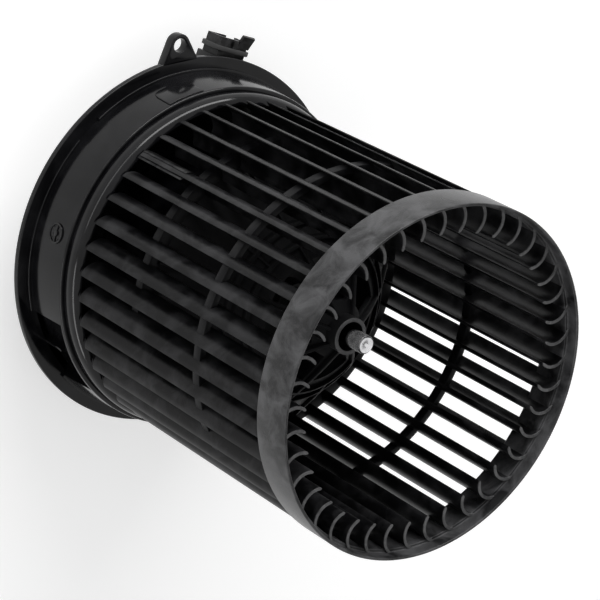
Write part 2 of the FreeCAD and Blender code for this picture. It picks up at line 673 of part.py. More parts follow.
def brush(azimuth):
    """Carbon block whose face is hollowed to the commutator."""
    block = box((0, BRUSH_OUTER), (-BRUSH_WIDTH / 2, BRUSH_WIDTH / 2),
                (BRUSH_Z, BRUSH_Z + BRUSH_HEIGHT))
    hollow = cylinder(BRUSH_INNER, BRUSH_Z - 1, BRUSH_Z + BRUSH_HEIGHT + 1)
    return turn(block.cut(hollow), azimuth)


def brush_box(azimuth):
    """Brass tube of square section that guides a brush, closed behind its spring."""
    inner_y = BRUSH_WIDTH / 2 + BRUSH_BOX_CLEARANCE
    inner_z = (BRUSH_Z - BRUSH_BOX_CLEARANCE, BRUSH_Z + BRUSH_HEIGHT + BRUSH_BOX_CLEARANCE)
    wall = BRUSH_BOX_WALL
    start = BRUSH_INNER + 2.5
    end = BRUSH_OUTER + BRUSH_SPRING_LENGTH
    outside = box((start, end + wall), (-inner_y - wall, inner_y + wall),
                  (inner_z[0] - wall, inner_z[1] + wall))
    inside = box((start - 1, end), (-inner_y, inner_y), inner_z)
    return turn(outside.cut(inside), azimuth)


def brush_spring(azimuth):
    """Coil spring of square wire behind a brush, from the brush to the box's end."""
    radius = BRUSH_WIDTH / 2 - SPRING_WIRE
    half = SPRING_WIRE / 2
    start = BRUSH_OUTER + half + FIT
    length = BRUSH_SPRING_LENGTH - SPRING_WIRE - 2 * FIT
    stations = SPRING_TURNS * SPRING_CORNERS
    squares = []
    for index in range(stations + 1):
        angle = 2 * math.pi * index / SPRING_CORNERS
        along = start + length * index / stations
        out = Vector(0, math.cos(angle), math.sin(angle))
        middle = Vector(along, 0, BRUSH_Z + BRUSH_HEIGHT / 2) + out * radius
        corners = [middle + out * (half * a) + Vector(half * b, 0, 0)
                   for a, b in ((1, 1), (1, -1), (-1, -1), (-1, 1))]
        squares.append(Part.makePolygon(corners + corners[:1]))
    return turn(Part.makeLoft(squares, True, True), azimuth)


def choke(azimuth):
    """Suppression choke: a ferrite rod inside a wound copper sleeve."""
    rod_height = CAN_REAR + CHOKE_RADIUS + 0.4
    across = Vector(0, 1, 0)
    half = CHOKE_LENGTH / 2
    sleeve = Part.makeCylinder(CHOKE_RADIUS, CHOKE_LENGTH - 4,
                               Vector(CHOKE_CIRCLE, -half + 2, rod_height), across)
    rod = Part.makeCylinder(CHOKE_RADIUS - 1, CHOKE_LENGTH,
                            Vector(CHOKE_CIRCLE, -half, rod_height), across)
    return turn(sleeve.fuse(rod), azimuth)


def magnet(azimuth):
    """Ferrite arc against the inside of the can."""
    return sector(CAN_RADIUS - CAN_WALL - FIT, MAGNET_INNER, azimuth - MAGNET_SWEEP / 2,
                  MAGNET_SWEEP, CORE_Z - MAGNET_OVERHANG, CORE_END + MAGNET_OVERHANG)


def magnet_clip(azimuth):
    """Bent spring strip that presses two magnets apart."""
    half_gap = math.radians(90 - MAGNET_SWEEP / 2)
    inside = CAN_RADIUS - CAN_WALL - FIT
    reach = inside * math.sin(half_gap) - 0.6
    low = CORE_Z - MAGNET_OVERHANG + 2
    high = CORE_END + MAGNET_OVERHANG - 2
    depth = inside * math.cos(half_gap)
    points = [(depth - 1.6, -reach + 0.6), (depth - 0.9, -reach + 0.2), (inside - 0.2, 0, "arc"),
              (depth - 0.9, reach - 0.2), (depth - 1.6, reach - 0.6), (inside - 1.0, 0, "arc")]
    return turn(raised(points, low, high), azimuth)


def armature_core():
    """Laminated core with open slots."""
    slot = box((CORE_RADIUS - CORE_SLOT_DEPTH, CORE_RADIUS + 1),
               (-CORE_SLOT_WIDTH / 2, CORE_SLOT_WIDTH / 2), (CORE_Z - 1, CORE_END + 1))
    stack = ring(CORE_RADIUS, SHAFT_RADIUS + GRIP_CLEARANCE, CORE_Z, CORE_END)
    return stack.cut(around(slot, CORE_SLOTS))


def armature_windings():
    """Copper windings: bars in the slots joined by the crossed-over heads at both ends."""
    inner = SHAFT_RADIUS + 3
    outer = CORE_RADIUS - 2
    deep = CORE_RADIUS - CORE_SLOT_DEPTH + FIT
    ends = []
    for base, way in ((CORE_END, 1), (CORE_Z, -1)):
        far = base + way * WINDING_OVERHANG
        bulge = base + way * WINDING_OVERHANG * 0.6
        ends.append(turned([(inner, base + way * FIT), (outer, base + way * FIT), (outer, bulge),
                            (outer - 3, far), (inner + 2, far), (inner, bulge)]))
    bar = box((deep, CORE_RADIUS - 2), (-CORE_SLOT_WIDTH / 2 + FIT, CORE_SLOT_WIDTH / 2 - FIT),
              (CORE_Z - 1, CORE_END + 1))
    return ends[0].multiFuse([ends[1]] + around(bar, CORE_SLOTS))


def commutator():
    """Copper bars parted by slots on a moulded sleeve, with hooks for the windings."""
    top = COMMUTATOR_Z + COMMUTATOR_LENGTH
    body = turned([
        (SHAFT_RADIUS + GRIP_CLEARANCE, COMMUTATOR_Z), (COMMUTATOR_RADIUS, COMMUTATOR_Z),
        (COMMUTATOR_RADIUS, top - 2), (COMMUTATOR_RADIUS + 1.8, top - 1.5),
        (COMMUTATOR_RADIUS + 1.8, top), (SHAFT_RADIUS + GRIP_CLEARANCE, top),
    ])
    slot = box((COMMUTATOR_RADIUS - 1, COMMUTATOR_RADIUS + 3),
               (-COMMUTATOR_SLOT / 2, COMMUTATOR_SLOT / 2), (COMMUTATOR_Z - 1, top + 1))
    return body.cut(around(slot, COMMUTATOR_BARS))


def thrust_washers():
    """Fibre washers on the shaft beside the two bearings."""
    rear = BRUSH_PLATE_Z + CLIP_THICKNESS + END_FLOAT
    front = CAN_FRONT - CAN_WALL - CLIP_THICKNESS - END_FLOAT - WASHER_THICKNESS
    bore = SHAFT_RADIUS + GRIP_CLEARANCE
    rings = [ring(WASHER_RADIUS, bore, low, low + WASHER_THICKNESS) for low in (rear, front)]
    return Part.makeCompound(rings)


def rear_cover():
    """Cap over the motor's rear end with cooling slots, screw tabs and a tunnel for the leads."""
    under = SEAT_Z - PLATE_THICKNESS
    inside = COVER_RADIUS - COVER_WALL
    seat_ring = CAN_RADIUS - CAN_WALL - 1
    cap = turned([
        (0, 0), (COVER_RADIUS - COVER_ROUND, 0),
        (COVER_RADIUS - COVER_ROUND * 0.3, COVER_ROUND * 0.3), (COVER_RADIUS, COVER_ROUND),
        (COVER_RADIUS, under), (inside, under), (inside, COVER_WALL), (seat_ring, COVER_WALL),
        (seat_ring, BRUSH_PLATE_Z), (seat_ring - COVER_WALL, BRUSH_PLATE_Z),
        (seat_ring - COVER_WALL, COVER_WALL), (0, COVER_WALL),
    ])
    half = TERMINAL_PITCH / 2 + TERMINAL_WIDTH / 2 + 1
    low = CONNECTOR_Z - 3
    tunnel = box((inside + 0.5, CONNECTOR_INNER - FIT), (-half - COVER_WALL, half + COVER_WALL),
                 (low - COVER_WALL, under))
    tabs = []
    holes = []
    for azimuth in screw_azimuths():
        foot = polar(SCREW_CIRCLE, azimuth)
        bottom = under - COVER_TAB_THICKNESS
        bridge = box((inside + 0.5, SCREW_CIRCLE), (-COVER_TAB_RADIUS, COVER_TAB_RADIUS),
                     (bottom, under))
        tabs += [cylinder(COVER_TAB_RADIUS, bottom, under, foot.x, foot.y), turn(bridge, azimuth)]
        holes.append(cylinder(SCREW_RADIUS + SCREW_CLEARANCE, bottom - 1, under + 1,
                              foot.x, foot.y))
    cap = cap.multiFuse([turn(tunnel, CONNECTOR_AZIMUTH)] + tabs)
    gallery = box((CAN_RADIUS - 8, COVER_RADIUS * 2), (-half, half), (low, under - 2.0))
    slot = box((inside - 1, COVER_RADIUS + 1), (-COVER_SLOT_WIDTH / 2, COVER_SLOT_WIDTH / 2),
               (COVER_ROUND + 3, under - COVER_TAB_THICKNESS - 4))
    slots = []
    for index in range(1, COVER_SLOTS):
        slots.append(turn(slot, CONNECTOR_AZIMUTH + 360.0 * index / COVER_SLOTS))
    return cap.cut([turn(gallery, CONNECTOR_AZIMUTH)] + slots + holes).removeSplitter()


def cover_screws():
    """Self-tapping screws with pan heads that hold the rear cover."""
    screws = []
    head_top = SEAT_Z - PLATE_THICKNESS - COVER_TAB_THICKNESS
    for azimuth in screw_azimuths():
        foot = polar(SCREW_CIRCLE, azimuth)
        bottom = head_top - SCREW_HEAD_HEIGHT
        points = [(0, bottom), (SCREW_HEAD_RADIUS * 0.7, bottom), (SCREW_HEAD_RADIUS, bottom + 1),
                  (SCREW_HEAD_RADIUS, head_top), (SCREW_RADIUS, head_top),
                  (SCREW_RADIUS, bottom + SCREW_LENGTH), (0, bottom + SCREW_LENGTH + 1)]
        screw = turned(points)
        recess = box((-0.5, 0.5), (-2, 2), (bottom - 1, bottom + 1.2))
        cross = box((-2, 2), (-0.5, 0.5), (bottom - 1, bottom + 1.2))
        screw = screw.cut([recess, cross])
        screw.translate(foot)
        screws.append(screw)
    return Part.makeCompound(screws)


def rounded_block(x_range, half_y, half_z, corner):
    """Block along the connector's direction with rounded long edges."""
    block = box(x_range, (-half_y, half_y), (CONNECTOR_Z - half_z, CONNECTOR_Z + half_z))
    long_edges = [edge for edge in block.Edges if abs(edge.tangentAt(edge.FirstParameter).x) > 0.9]
    return block.makeFillet(corner, long_edges)


def connector_housing():
    """Two-pole socket that faces outwards behind the rim, with a latch ramp at one side."""
    half_y = CONNECTOR_WIDTH / 2
    half_z = CONNECTOR_HEIGHT / 2
    body = rounded_block((CONNECTOR_INNER, CONNECTOR_OUTER), half_y, half_z, 1.0)
    foot = box((CONNECTOR_INNER, CONNECTOR_INNER + 3.5), (-half_y, half_y),
               (CONNECTOR_Z - half_z, SEAT_Z - PLATE_THICKNESS))
    key = box((GROMMET_RADIUS + GROMMET_THICKNESS, CONNECTOR_OUTER), (-1.2, 1.2),
              (CONNECTOR_Z + half_z - 0.5, CONNECTOR_Z + half_z + 1.2))
    root = GROMMET_RADIUS + GROMMET_THICKNESS + LATCH_THICKNESS
    heel = CONNECTOR_Z + half_z - LATCH_THICKNESS
    latch = Part.makeBox(LATCH_LENGTH, LATCH_WIDTH, LATCH_THICKNESS,
                         Vector(root, -half_y - 0.5, heel))
    latch.rotate(Vector(root, 0, heel), Vector(0, 1, 0), -LATCH_TILT)
    body = body.multiFuse([foot, key, latch])
    inner_y = half_y - CONNECTOR_WALL
    inner_z = half_z - CONNECTOR_WALL
    cavity = box((CONNECTOR_OUTER - SOCKET_DEPTH, CONNECTOR_OUTER + 1), (-inner_y, inner_y),
                 (CONNECTOR_Z - inner_z, CONNECTOR_Z + inner_z))
    step = box((CONNECTOR_OUTER - 1.8, CONNECTOR_OUTER + 1), (-half_y - 1, -2),
               (CONNECTOR_Z - half_z - 1, CONNECTOR_Z - inner_z + 0.1))
    slits = []
    for side in (1, -1):
        y = side * TERMINAL_PITCH / 2
        slits.append(box((CONNECTOR_INNER - 1, CONNECTOR_OUTER),
                         (y - TERMINAL_WIDTH / 2 - 0.1, y + TERMINAL_WIDTH / 2 + 0.1),
                         (CONNECTOR_Z - TERMINAL_THICKNESS / 2 - 0.1,
                          CONNECTOR_Z + TERMINAL_THICKNESS / 2 + 0.1)))
    return turn(body.cut([cavity, step] + slits).removeSplitter(), CONNECTOR_AZIMUTH)


def connector_grommet():
    """Rubber collar round the socket, just outside the rim."""
    x_range = (GROMMET_RADIUS, GROMMET_RADIUS + GROMMET_THICKNESS)
    half_y = CONNECTOR_WIDTH / 2
    half_z = CONNECTOR_HEIGHT / 2
    outside = rounded_block(x_range, half_y + GROMMET_PROUD, half_z + GROMMET_PROUD, 5.5)
    wide = (x_range[0] - 1, x_range[1] + 1)
    inside = box(wide, (-half_y - 0.1, half_y + 0.1),
                 (CONNECTOR_Z - half_z - 0.1, CONNECTOR_Z + half_z + 0.1))
    return turn(outside.cut(inside), CONNECTOR_AZIMUTH)


def busbar(side):
    """Stamped strip from a socket terminal to the end plate of the motor."""
    y = side * TERMINAL_PITCH / 2
    half = TERMINAL_THICKNESS / 2
    blade_part = box((CONNECTOR_INNER - 6, CONNECTOR_OUTER - TERMINAL_SETBACK),
                     (y - TERMINAL_WIDTH / 2, y + TERMINAL_WIDTH / 2),
                     (CONNECTOR_Z - half, CONNECTOR_Z + half))
    inner = HOUSING_RADIUS + 6
    run = box((inner, CONNECTOR_INNER - 5), (y - TERMINAL_WIDTH / 2, y + TERMINAL_WIDTH / 2),
              (CONNECTOR_Z - half, CONNECTOR_Z + half))
    riser = box((inner, inner + TERMINAL_THICKNESS),
                (y - TERMINAL_WIDTH / 2, y + TERMINAL_WIDTH / 2),
                (CONNECTOR_Z - half, BRUSH_PLATE_Z))
    return turn(blade_part.multiFuse([run, riser]).removeSplitter(), CONNECTOR_AZIMUTH)


def nodes():
    """Every sub-part by name."""
    first, second = brush_azimuths()
    choke_one, choke_two = choke_azimuths()
    return {
        "fan_wheel": fan_wheel(),
        "balance_clip": balance_clip(),
        "motor_shaft": motor_shaft(),
        "hub_clip": hub_clip(),
        "mounting_flange": mounting_flange(),
        "motor_can": motor_can(),
        "front_bearing": bearing(CAN_FRONT - CAN_WALL),
        "rear_bearing": bearing(BRUSH_PLATE_Z - BEARING_LENGTH),
        "front_bearing_retainer": bearing_retainer(CAN_FRONT - CAN_WALL - CLIP_THICKNESS),
        "rear_bearing_retainer": bearing_retainer(BRUSH_PLATE_Z),
        "front_damper": damper(SEAT_Z + CUP_HEIGHT - CUP_WALL - DAMPER_HEIGHT - FIT),
        "rear_damper": damper(SEAT_Z + 2),
        "magnet_left": magnet(CONNECTOR_AZIMUTH + 90),
        "magnet_right": magnet(CONNECTOR_AZIMUTH - 90),
        "magnet_clip_front": magnet_clip(CONNECTOR_AZIMUTH),
        "magnet_clip_back": magnet_clip(CONNECTOR_AZIMUTH + 180),
        "armature_core": armature_core(),
        "armature_windings": armature_windings(),
        "commutator": commutator(),
        "thrust_washers": thrust_washers(),
        "brush_plate": brush_plate(),
        "brush_left": brush(first),
        "brush_right": brush(second),
        "brush_box_left": brush_box(first),
        "brush_box_right": brush_box(second),
        "brush_spring_left": brush_spring(first),
        "brush_spring_right": brush_spring(second),
        "choke_front": choke(choke_one),
        "choke_back": choke(choke_two),
        "busbar_positive": busbar(1),
        "busbar_negative": busbar(-1),
        "connector_housing": connector_housing(),
        "connector_grommet": connector_grommet(),
        "rear_cover": rear_cover(),
        "cover_screws": cover_screws(),
    }


def main():
    """Write one STEP file for each sub-part."""
    os.makedirs("parts", exist_ok=True)
    for name, shape in nodes().items():
        if not shape.isValid():
            print("not valid:", name)
        print(name, len(shape.Solids), "solids", round(shape.Volume / 1000, 2), "cm3")
        shape.exportStep("parts/" + name + ".step")


main()
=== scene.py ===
"""Looks of a cabin blower: cage fan wheel, flange with bell-mouth lip, motor and connector."""

import json
import logging
import math
from dataclasses import dataclass
from enum import Enum

import bmesh
import bpy
from mathutils import Matrix, Vector


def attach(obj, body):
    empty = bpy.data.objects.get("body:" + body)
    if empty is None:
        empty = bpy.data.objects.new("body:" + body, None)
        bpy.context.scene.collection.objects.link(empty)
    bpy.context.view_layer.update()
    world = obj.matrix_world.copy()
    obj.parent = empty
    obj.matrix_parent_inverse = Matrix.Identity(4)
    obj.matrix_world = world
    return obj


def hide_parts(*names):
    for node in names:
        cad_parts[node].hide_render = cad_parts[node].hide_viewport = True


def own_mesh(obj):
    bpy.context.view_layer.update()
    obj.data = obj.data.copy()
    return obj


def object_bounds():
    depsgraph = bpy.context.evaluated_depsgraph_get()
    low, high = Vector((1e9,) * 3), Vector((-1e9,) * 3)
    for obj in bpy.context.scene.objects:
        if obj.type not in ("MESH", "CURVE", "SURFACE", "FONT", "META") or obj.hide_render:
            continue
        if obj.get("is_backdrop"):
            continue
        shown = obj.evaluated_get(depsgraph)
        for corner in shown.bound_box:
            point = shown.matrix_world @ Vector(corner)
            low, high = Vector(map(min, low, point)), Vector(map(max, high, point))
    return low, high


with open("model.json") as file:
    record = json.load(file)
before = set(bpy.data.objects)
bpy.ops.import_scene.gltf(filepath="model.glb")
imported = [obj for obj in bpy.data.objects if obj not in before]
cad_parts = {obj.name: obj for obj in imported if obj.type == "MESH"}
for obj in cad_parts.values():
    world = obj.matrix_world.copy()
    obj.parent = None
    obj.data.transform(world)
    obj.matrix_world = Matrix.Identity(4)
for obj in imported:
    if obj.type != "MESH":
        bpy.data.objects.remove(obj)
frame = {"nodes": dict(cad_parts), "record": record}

LOG = logging.getLogger("blower")
MM = 0.001
# Facets round the axis: of rings, of the flange's shell, and of the shaft and the boss.
ROUND_STEPS = 192
SHELL_STEPS = 360
SMALL_STEPS = 96
SHARP_ANGLE = math.radians(34)
# Distances in metres under which points are merged, in this script's meshes and in the solids'.
WELD_OWN = 0.00001
WELD_CAD = 0.000005
WHITE = (1.0, 1.0, 1.0, 1.0)
# Noise values where a finish's light colour begins and is full, before the finish shifts them.
CLOUD_START = 0.62
CLOUD_FULL = 0.86

Point = tuple[float, float]
Triple = tuple[float, float, float]
Ring = tuple[float, float, float, float]
Piece = bpy.types.Object
Tree = bpy.types.NodeTree


def set_inputs(node: bpy.types.Node, values: dict[str, object]) -> bpy.types.Node:
    """Set a node's unlinked inputs.

    Args:
        node: The node.
        values: What each named input gets.

    Returns:
        The same node.
    """
    for name, value in values.items():
        node.inputs[name].default_value = value
    return node


def math_of(tree: Tree, operation: str, *values: object) -> bpy.types.NodeSocket:
    """Add a math node.

    Args:
        tree: Tree that gets the node.
        operation: What it works out.
        values: Numbers or sockets that it takes, in order.

    Returns:
        Its output.
    """
    made = tree.nodes.new("ShaderNodeMath")
    made.operation = operation
    for socket, value in zip(made.inputs, values):
        if isinstance(value, float):
            socket.default_value = value
        else:
            tree.links.new(value, socket)
    return made.outputs[0]


def seen_directly(tree: Tree) -> bpy.types.NodeSocket:
    """Add nodes that give 1 to camera, glossy and transmission rays and 0 to other light.

    Args:
        tree: Tree that gets the nodes.

    Returns:
        Their output.
    """
    rays = tree.nodes.new("ShaderNodeLightPath").outputs
    mirrored = math_of(tree, "MAXIMUM", rays["Is Glossy Ray"], rays["Is Transmission Ray"])
    return math_of(tree, "MAXIMUM", rays["Is Camera Ray"], mirrored)


class Body(Enum):
    """Rigid bodies of the blower that a piece can ride on."""

    MOTOR = "motor_body"
    FAN = "fan"


class Grain(Enum):
    """How a surface's fine relief runs, as its scale along X, Y and Z."""

    MOULDED = (1.0, 1.0, 1.0)
    TURNED = (0.1, 0.1, 2.5)
    ROLLED = (1.0, 1.0, 0.08)


@dataclass(frozen=True)
class Finish:
    """One surface finish, made as a node material on Object coordinates.

    Args:
        name: Name of the material.
        dark: Colour of the darkest places.
        light: Colour of scuffed or lit places.
        rough: Lowest and highest roughness.
        metal: Metallic share.
        scuff_scale: Size of the cloudy mottling, in patches per metre.
        scuff_share: How much of the surface the light colour takes.
        patchy: How sharply light and dark places part, from 0 to 1.
        grain: Direction of the fine relief.
        grain_scale: Fine relief, in grains per metre.
        relief: Strength of the fine relief.
        coat: Clear gloss over the surface.
        shine: Strength of the surface's own reflections, 0.5 for plain plastic.
    """

    name: str
    dark: Triple
    light: Triple
    rough: Point
    metal: float = 0.0
    scuff_scale: float = 60.0
    scuff_share: float = 0.45
    patchy: float = 0.0
    grain: Grain = Grain.MOULDED
    grain_scale: float = 1800.0
    relief: float = 0.06
    coat: float = 0.0
    shine: float = 0.5

    def material(self) -> bpy.types.Material:
        """Make or reuse the node material.

        Returns:
            The material.
        """
        found = bpy.data.materials.get(self.name)
        if found:
            return found
        made = bpy.data.materials.new(self.name)
        made.use_nodes = True
        nodes = made.node_tree.nodes
        link = made.node_tree.links.new
        shader = set_inputs(nodes["Principled BSDF"], {
            "Metallic": self.metal, "Specular IOR Level": self.shine,
            "Coat Weight": self.coat, "Coat Roughness": 0.12})
        place = nodes.new("ShaderNodeTexCoord").outputs["Object"]
        clouds = set_inputs(nodes.new("ShaderNodeTexNoise"), {
            "Scale": self.scuff_scale, "Detail": 8.0, "Roughness": 0.62, "Distortion": 0.6})
        link(place, clouds.inputs["Vector"])
        ramp = nodes.new("ShaderNodeValToRGB")
        ends = (CLOUD_START - self.scuff_share * 0.5 + self.patchy * 0.1,
                CLOUD_FULL - self.scuff_share * 0.3 - self.patchy * 0.1)
        for element, end, colour in zip(ramp.color_ramp.elements, ends, (self.dark, self.light)):
            element.position = end
            element.color = (*colour, 1.0)
        link(clouds.outputs["Fac"], ramp.inputs["Fac"])
        link(ramp.outputs["Color"], shader.inputs["Base Color"])
        spread = set_inputs(nodes.new("ShaderNodeMapRange"), {
            "From Min": 0.3, "From Max": 0.7, "To Min": self.rough[0], "To Max": self.rough[1]})
        link(clouds.outputs["Fac"], spread.inputs["Value"])
        link(spread.outputs["Result"], shader.inputs["Roughness"])
        stretch = set_inputs(nodes.new("ShaderNodeMapping"), {"Scale": self.grain.value})
        link(place, stretch.inputs["Vector"])
        fine = set_inputs(nodes.new("ShaderNodeTexNoise"), {"Scale": self.grain_scale, "Detail": 3.0})
        link(stretch.outputs["Vector"], fine.inputs["Vector"])
        bump = set_inputs(nodes.new("ShaderNodeBump"), {"Strength": self.relief, "Distance": 0.0004})
        link(fine.outputs["Fac"], bump.inputs["Height"])
        link(bump.outputs["Normal"], shader.inputs["Normal"])
        return made


WHEEL = Finish("wheel satin black", (0.0025, 0.0025, 0.0028), (0.017, 0.017, 0.018), (0.27, 0.40),
               scuff_scale=70, scuff_share=0.48, patchy=0.7, relief=0.10, shine=0.12)
# Painted shade: the cone, skirt, boss, ribs and hoops are the wheel's own plastic, coloured darker than the
# blades for the shade inside the wheel.
SHADED_HUB = Finish("hub black with painted shade", (0.0015, 0.0015, 0.0018), (0.006, 0.006, 0.0065), (0.42, 0.58),
             scuff_scale=60, scuff_share=0.4, relief=0.10, shine=0.07)
# Painted shade: the middle ring and hub rim are the wheel's own plastic, coloured darker than the blades
# for the shade between the blades.
SHADED_RING = Finish("ring black with painted shade", (0.0025, 0.0025, 0.003), (0.010, 0.010, 0.0105), (0.36, 0.50),
              scuff_scale=90, scuff_share=0.45, patchy=0.6, relief=0.10, shine=0.09)
# Scuffs and painted light: the mouth band is mottled with real scuffs and is also coloured lighter all over
# than the blades, for the light on the wheel's outside.
BAND_SCUFFS_AND_LIGHT = Finish("wheel band scuffed and painted lighter", (0.007, 0.007, 0.0075), (0.052, 0.052, 0.054),
                       (0.26, 0.42), scuff_scale=85, scuff_share=0.6, patchy=0.7, relief=0.16, shine=0.24)
# Painted highlight: the blade ends and the boss's front edge are the wheel's black plastic, coloured grey
# for the light that catches them.
EDGE_HIGHLIGHT = Finish("blade ends and boss edge painted highlight grey", (0.045, 0.045, 0.046), (0.12, 0.12, 0.122), (0.35, 0.5),
                   scuff_scale=300, scuff_share=0.5, relief=0.2, shine=0.3)
FLANGE = Finish("flange gloss black", (0.002, 0.002, 0.0024), (0.009, 0.009, 0.010), (0.10, 0.19),
                scuff_scale=40, scuff_share=0.4, relief=0.02, coat=0.12, shine=0.15)
CONNECTOR = Finish("connector black", (0.0025, 0.0025, 0.0025), (0.020, 0.020, 0.021), (0.26, 0.42),
                   scuff_scale=220, scuff_share=0.5, patchy=0.8, relief=0.10, shine=0.18)
# Painted shade: the motor can, plated steel, is coloured near black for the shade it sits in inside the
# wheel.
SHADED_CAN = Finish("can painted dark for shade", (0.005, 0.005, 0.005), (0.018, 0.018, 0.018), (0.34, 0.48),
                  scuff_scale=90, grain=Grain.ROLLED, shine=0.2)
PLATE = Finish("brush plate brown", (0.045, 0.030, 0.020), (0.085, 0.062, 0.044), (0.45, 0.6))
# Painted reflection: the shaft's side and end are one steel; the side is coloured dark for the dark
# reflections on it, and the end near white for its bright reflection.
SHADED_SHAFT_STEEL = Finish("ground shaft steel painted dark", (0.09, 0.09, 0.092), (0.22, 0.22, 0.222), (0.10, 0.18),
                     metal=1.0, scuff_scale=160, grain=Grain.TURNED, relief=0.004)
LIT_SHAFT_END = Finish("faced shaft end painted bright", (0.62, 0.62, 0.63), (0.80, 0.80, 0.81), (0.22, 0.32),
                   metal=1.0, scuff_scale=300, grain=Grain.TURNED, relief=0.02)
SPRING_STEEL = Finish("spring steel", (0.38, 0.38, 0.38), (0.62, 0.62, 0.62), (0.28, 0.42),
                      metal=1.0, scuff_scale=200, grain=Grain.ROLLED)
CLIP_STEEL = Finish("blued clip steel", (0.012, 0.012, 0.013), (0.05, 0.05, 0.05), (0.34, 0.5),
                    metal=1.0, scuff_scale=220, grain=Grain.ROLLED)
PLATED_STEEL = Finish("zinc plated can", (0.30, 0.30, 0.31), (0.46, 0.46, 0.47), (0.30, 0.46),
                      metal=1.0, scuff_scale=90, grain=Grain.ROLLED)
BRONZE = Finish("sintered bronze", (0.30, 0.19, 0.09), (0.48, 0.33, 0.18), (0.4, 0.55), metal=1.0)
BRASS = Finish("brass strip", (0.55, 0.40, 0.16), (0.78, 0.60, 0.28), (0.25, 0.4), metal=1.0)
COPPER = Finish("enamelled copper", (0.38, 0.15, 0.06), (0.62, 0.28, 0.13), (0.25, 0.4),
                metal=0.8, grain=Grain.ROLLED, coat=0.5)
LAMINATION = Finish("stacked laminations", (0.14, 0.14, 0.14), (0.30, 0.30, 0.31), (0.4, 0.55),
                    metal=0.9, grain=Grain.TURNED, relief=0.3)
FERRITE = Finish("ferrite", (0.030, 0.030, 0.033), (0.070, 0.070, 0.075), (0.5, 0.7))
RUBBER = Finish("black rubber", (0.014, 0.014, 0.014), (0.034, 0.034, 0.034), (0.6, 0.8))
CARBON = Finish("carbon", (0.020, 0.020, 0.022), (0.050, 0.050, 0.055), (0.45, 0.6))
FIBRE = Finish("fibre washer", (0.16, 0.09, 0.045), (0.30, 0.18, 0.10), (0.6, 0.8))

CAD_FINISHES = {
    # The motor can's colour is painted shade.
    "balance_clip": CLIP_STEEL, "hub_clip": SPRING_STEEL, "motor_can": SHADED_CAN,
    "front_bearing": BRONZE, "rear_bearing": BRONZE, "front_bearing_retainer": SPRING_STEEL,
    "rear_bearing_retainer": SPRING_STEEL, "front_damper": RUBBER, "rear_damper": RUBBER,
    "magnet_left": FERRITE, "magnet_right": FERRITE, "magnet_clip_front": SPRING_STEEL,
    "magnet_clip_back": SPRING_STEEL, "armature_core": LAMINATION, "armature_windings": COPPER,
    "commutator": COPPER, "thrust_washers": FIBRE, "brush_plate": PLATE, "brush_left": CARBON,
    "brush_right": CARBON, "brush_box_left": BRASS, "brush_box_right": BRASS,
    "choke_front": COPPER, "choke_back": COPPER, "busbar_positive": BRASS, "busbar_negative": BRASS,
    "connector_housing": CONNECTOR, "connector_grommet": RUBBER, "rear_cover": FLANGE,
    "cover_screws": PLATED_STEEL,
}


def arc(centre: Point, radius: float, start: float, end: float, steps: int) -> list[Point]:
    """Points along a circle.

    Args:
        centre: Middle of the circle.
        radius: Its radius.
        start: First angle in degrees.
        end: Last angle in degrees.
        steps: Number of spans.

    Returns:
        The points from first to last.
    """
    angles = [math.radians(start + (end - start) * index / steps) for index in range(steps + 1)]
    return [(centre[0] + radius * math.cos(a), centre[1] + radius * math.sin(a)) for a in angles]


def new_object(name: str, mesh: bpy.types.Mesh) -> Piece:
    """Link a mesh to the scene as an object at the origin.

    Args:
        name: Name of the object.
        mesh: Its mesh.

    Returns:
        The object.
    """
    made = bpy.data.objects.new(name, mesh)
    bpy.context.scene.collection.objects.link(made)
    return made


def from_bmesh(name: str, shape: bmesh.types.BMesh) -> Piece:
    """Turn a bmesh with sizes in millimetres into an object in metres.

    Args:
        name: Name of the object.
        shape: The bmesh, which is freed.

    Returns:
        The object.
    """
    bmesh.ops.recalc_face_normals(shape, faces=shape.faces)
    bmesh.ops.scale(shape, vec=(MM, MM, MM), verts=shape.verts)
    mesh = bpy.data.meshes.new(name)
    shape.to_mesh(mesh)
    shape.free()
    return new_object(name, mesh)


def lathe(name: str, profile: list[Point], steps: int = ROUND_STEPS) -> Piece:
    """Closed ring turned about the shaft from a closed outline.

    Args:
        name: Name of the object.
        profile: Points of radius and height in millimetres; a radius of 0 closes on the axis.
        steps: Number of facets round the axis.

    Returns:
        The turned object.
    """
    shape = bmesh.new()
    rings = []
    turn = [2 * math.pi * k / steps for k in range(steps)]
    for radius, height in profile:
        angles = turn if radius > 0 else turn[:1]
        rings.append([shape.verts.new((radius * math.cos(a), radius * math.sin(a), height))
                      for a in angles])
    for here, there in zip(rings, rings[1:] + rings[:1]):
        for k in range(steps):
            corners = [here[k % len(here)], here[(k + 1) % len(here)],
                       there[(k + 1) % len(there)], there[k % len(there)]]
            unique = list(dict.fromkeys(corners))
            if len(unique) > 2:
                shape.faces.new(unique)
    return from_bmesh(name, shape)


def prism(name: str, outline: list[Point], low: float, high: float) -> Piece:
    """Upright plate with a flat outline.

    Args:
        name: Name of the object.
        outline: Points of x and y in millimetres.
        low: Height of the underside.
        high: Height of the top.

    Returns:
        The plate.
    """
    shape = bmesh.new()
    bottom = [shape.verts.new((x, y, low)) for x, y in outline]
    top = [shape.verts.new((x, y, high)) for x, y in outline]
    shape.faces.new(bottom)
    shape.faces.new(top)
    count = len(outline)
    for k in range(count):
        shape.faces.new([bottom[k], bottom[(k + 1) % count], top[(k + 1) % count], top[k]])
    return from_bmesh(name, shape)


def block(name: str, x: Point, y: Point, z: Point) -> Piece:
    """Plain cutter or rib between three pairs of coordinates in millimetres."""
    return prism(name, [(x[0], y[0]), (x[1], y[0]), (x[1], y[1]), (x[0], y[1])], z[0], z[1])


